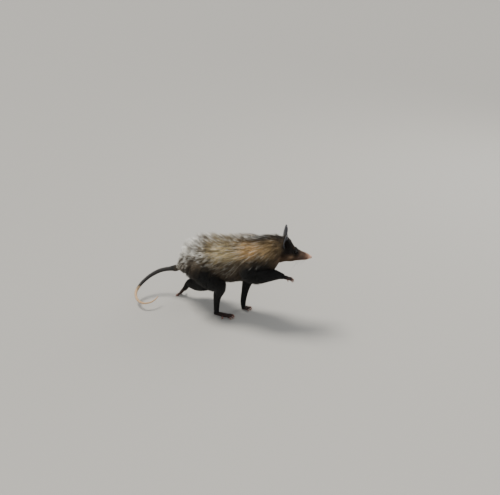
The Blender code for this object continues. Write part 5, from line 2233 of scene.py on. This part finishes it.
# ---- studio ----
@dataclass(frozen=True)
class SoftLight:
    """One soft area light, aimed at the middle of the animal."""

    name: str
    place: tuple[float, float, float]
    size: float
    watts: float
    colour: tuple[float, float, float] = (1.0, 1.0, 1.0)


@dataclass(frozen=True)
class Studio:
    """The plain floor, the soft lights and the camera at the photograph's angle."""

    camera_place: tuple[float, float, float] = (0.8741, -1.8439, 1.0862)
    azimuth: float = 23.16
    elevation: float = 23.48
    lens: float = 61.2
    lights: tuple[SoftLight, ...] = (
        SoftLight("fill", (1.5, -2.4, 1.5), 2.2, 22.0, (0.95, 0.97, 1.0)),
        SoftLight("rim", (0.9, 1.7, 1.3), 1.2, 12.0),
    )
    key_from: tuple[float, float, float] = (-0.5, 0.12, 0.95)
    key_strength: float = 3.5
    key_spread: float = 24.0

    def build(self) -> None:
        """Makes the floor, the lights, the world's even light and the camera."""
        self.floor()
        for light in self.lights:
            self.light(light)
        self.key()
        world = bpy.data.worlds.new("studio_air")
        world.use_nodes = True
        sky = world.node_tree.nodes["Background"]
        sky.inputs["Color"].default_value = (0.86, 0.9, 0.96, 1.0)
        sky.inputs["Strength"].default_value = 0.5
        bpy.context.scene.world = world
        self.camera()

    @staticmethod
    def floor() -> None:
        """A plain pale floor."""
        deselect()
        bpy.ops.mesh.primitive_plane_add(size=60.0, location=(0.0, 0.0, -0.0004))
        floor = bpy.context.object
        floor.name = "studio_floor"
        bpy.ops.object.transform_apply(location=True, rotation=True, scale=True)
        floor.data.materials.append(PlainMatt("pale_floor", "#B2AFA8", 0.85).make())

    def key(self) -> None:
        """The key light, broad and even, from above and behind the animal's left shoulder."""
        data = bpy.data.lights.new("key", "SUN")
        data.energy = self.key_strength
        data.angle = math.radians(self.key_spread)
        data.color = (1.0, 0.97, 0.92)
        lamp = bpy.data.objects.new("key", data)
        bpy.context.scene.collection.objects.link(lamp)
        lamp.location = self.key_from
        lamp.rotation_euler = (-Vector(self.key_from)).to_track_quat("-Z", "Y").to_euler()

    @staticmethod
    def light(light: SoftLight) -> None:
        """One area light."""
        data = bpy.data.lights.new(light.name, "AREA")
        data.energy = light.watts
        data.size = light.size
        data.color = light.colour
        lamp = bpy.data.objects.new(light.name, data)
        bpy.context.scene.collection.objects.link(lamp)
        lamp.location = light.place
        aim = Vector((0.0, 0.03, 0.12)) - Vector(light.place)
        lamp.rotation_euler = aim.to_track_quat("-Z", "Y").to_euler()

    def camera(self) -> None:
        """The camera, at the photograph's angle and framing."""
        data = bpy.data.cameras.new("camera")
        data.lens = self.lens
        data.sensor_width = 36.0
        data.clip_start = 0.05
        data.clip_end = 100.0
        camera = bpy.data.objects.new("camera", data)
        bpy.context.scene.collection.objects.link(camera)
        camera.location = self.camera_place
        tilt = math.radians(90.0 - self.elevation)
        camera.rotation_euler = (tilt, 0.0, math.radians(self.azimuth))
        bpy.context.scene.camera = camera


FLESH_NODES = [
    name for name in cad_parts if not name.startswith(("eye_", "ear_", "nose"))
]


def settle(piece: bpy.types.Object, material: bpy.types.Material | None, nodes: tuple = ()) -> None:
    """Gives a piece its material and its body, and hides the solids that it stands for."""
    if material is not None:
        piece.data.materials.clear()
        piece.data.materials.append(material)
    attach(piece, "root")
    if nodes:
        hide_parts(*nodes)


def main() -> None:
    """Builds the animal's look piece by piece, then the studio."""
    logging.basicConfig(level=logging.INFO, format="%(name)s %(relativeCreated)d ms: %(message)s")
    maker = Skin()
    skin = maker.build()
    lids = [Eye(side).lids() for side in Side]
    Skin.dressed(skin, Hide().make())
    settle(skin, None, tuple(FLESH_NODES))
    LOG.info("skin: %d triangles", len(skin.data.polygons))
    coat = Coat(skin, GuardHair().make()).build()
    for piece in coat:
        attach(piece, "root")
    lid_skin = PlainMatt("dark_lid_skin", "#0D0907", 0.6, 0.15).make()
    for side, lid in zip(Side, lids):
        settle(lid, lid_skin)
        lid.data.shade_smooth()
    eye_finish = WetEye().make()
    for side in Side:
        settle(Eye(side).ball(), eye_finish, (f"eye_{side.name.lower()}",))
    ear_finish = EarLeather().make()
    for side in Side:
        settle(Ear(side).build(), ear_finish, (f"ear_{side.name.lower()}",))
    settle(Nose().build(), MoistSkin().make(), ("nose",))
    claws = ClawMaker().build([claw for foot in maker.feet for claw in foot.claws])
    settle(claws, Horn().make())
    whiskers = Whiskers().build(skin)
    settle(whiskers, PlainMatt("whisker_horn", "#1B1613", 0.4).make())
    LOG.info("eyes, lids, ears, nose, claws and whiskers are in place")
    Studio().build()


if __name__ == "__main__":
    main()
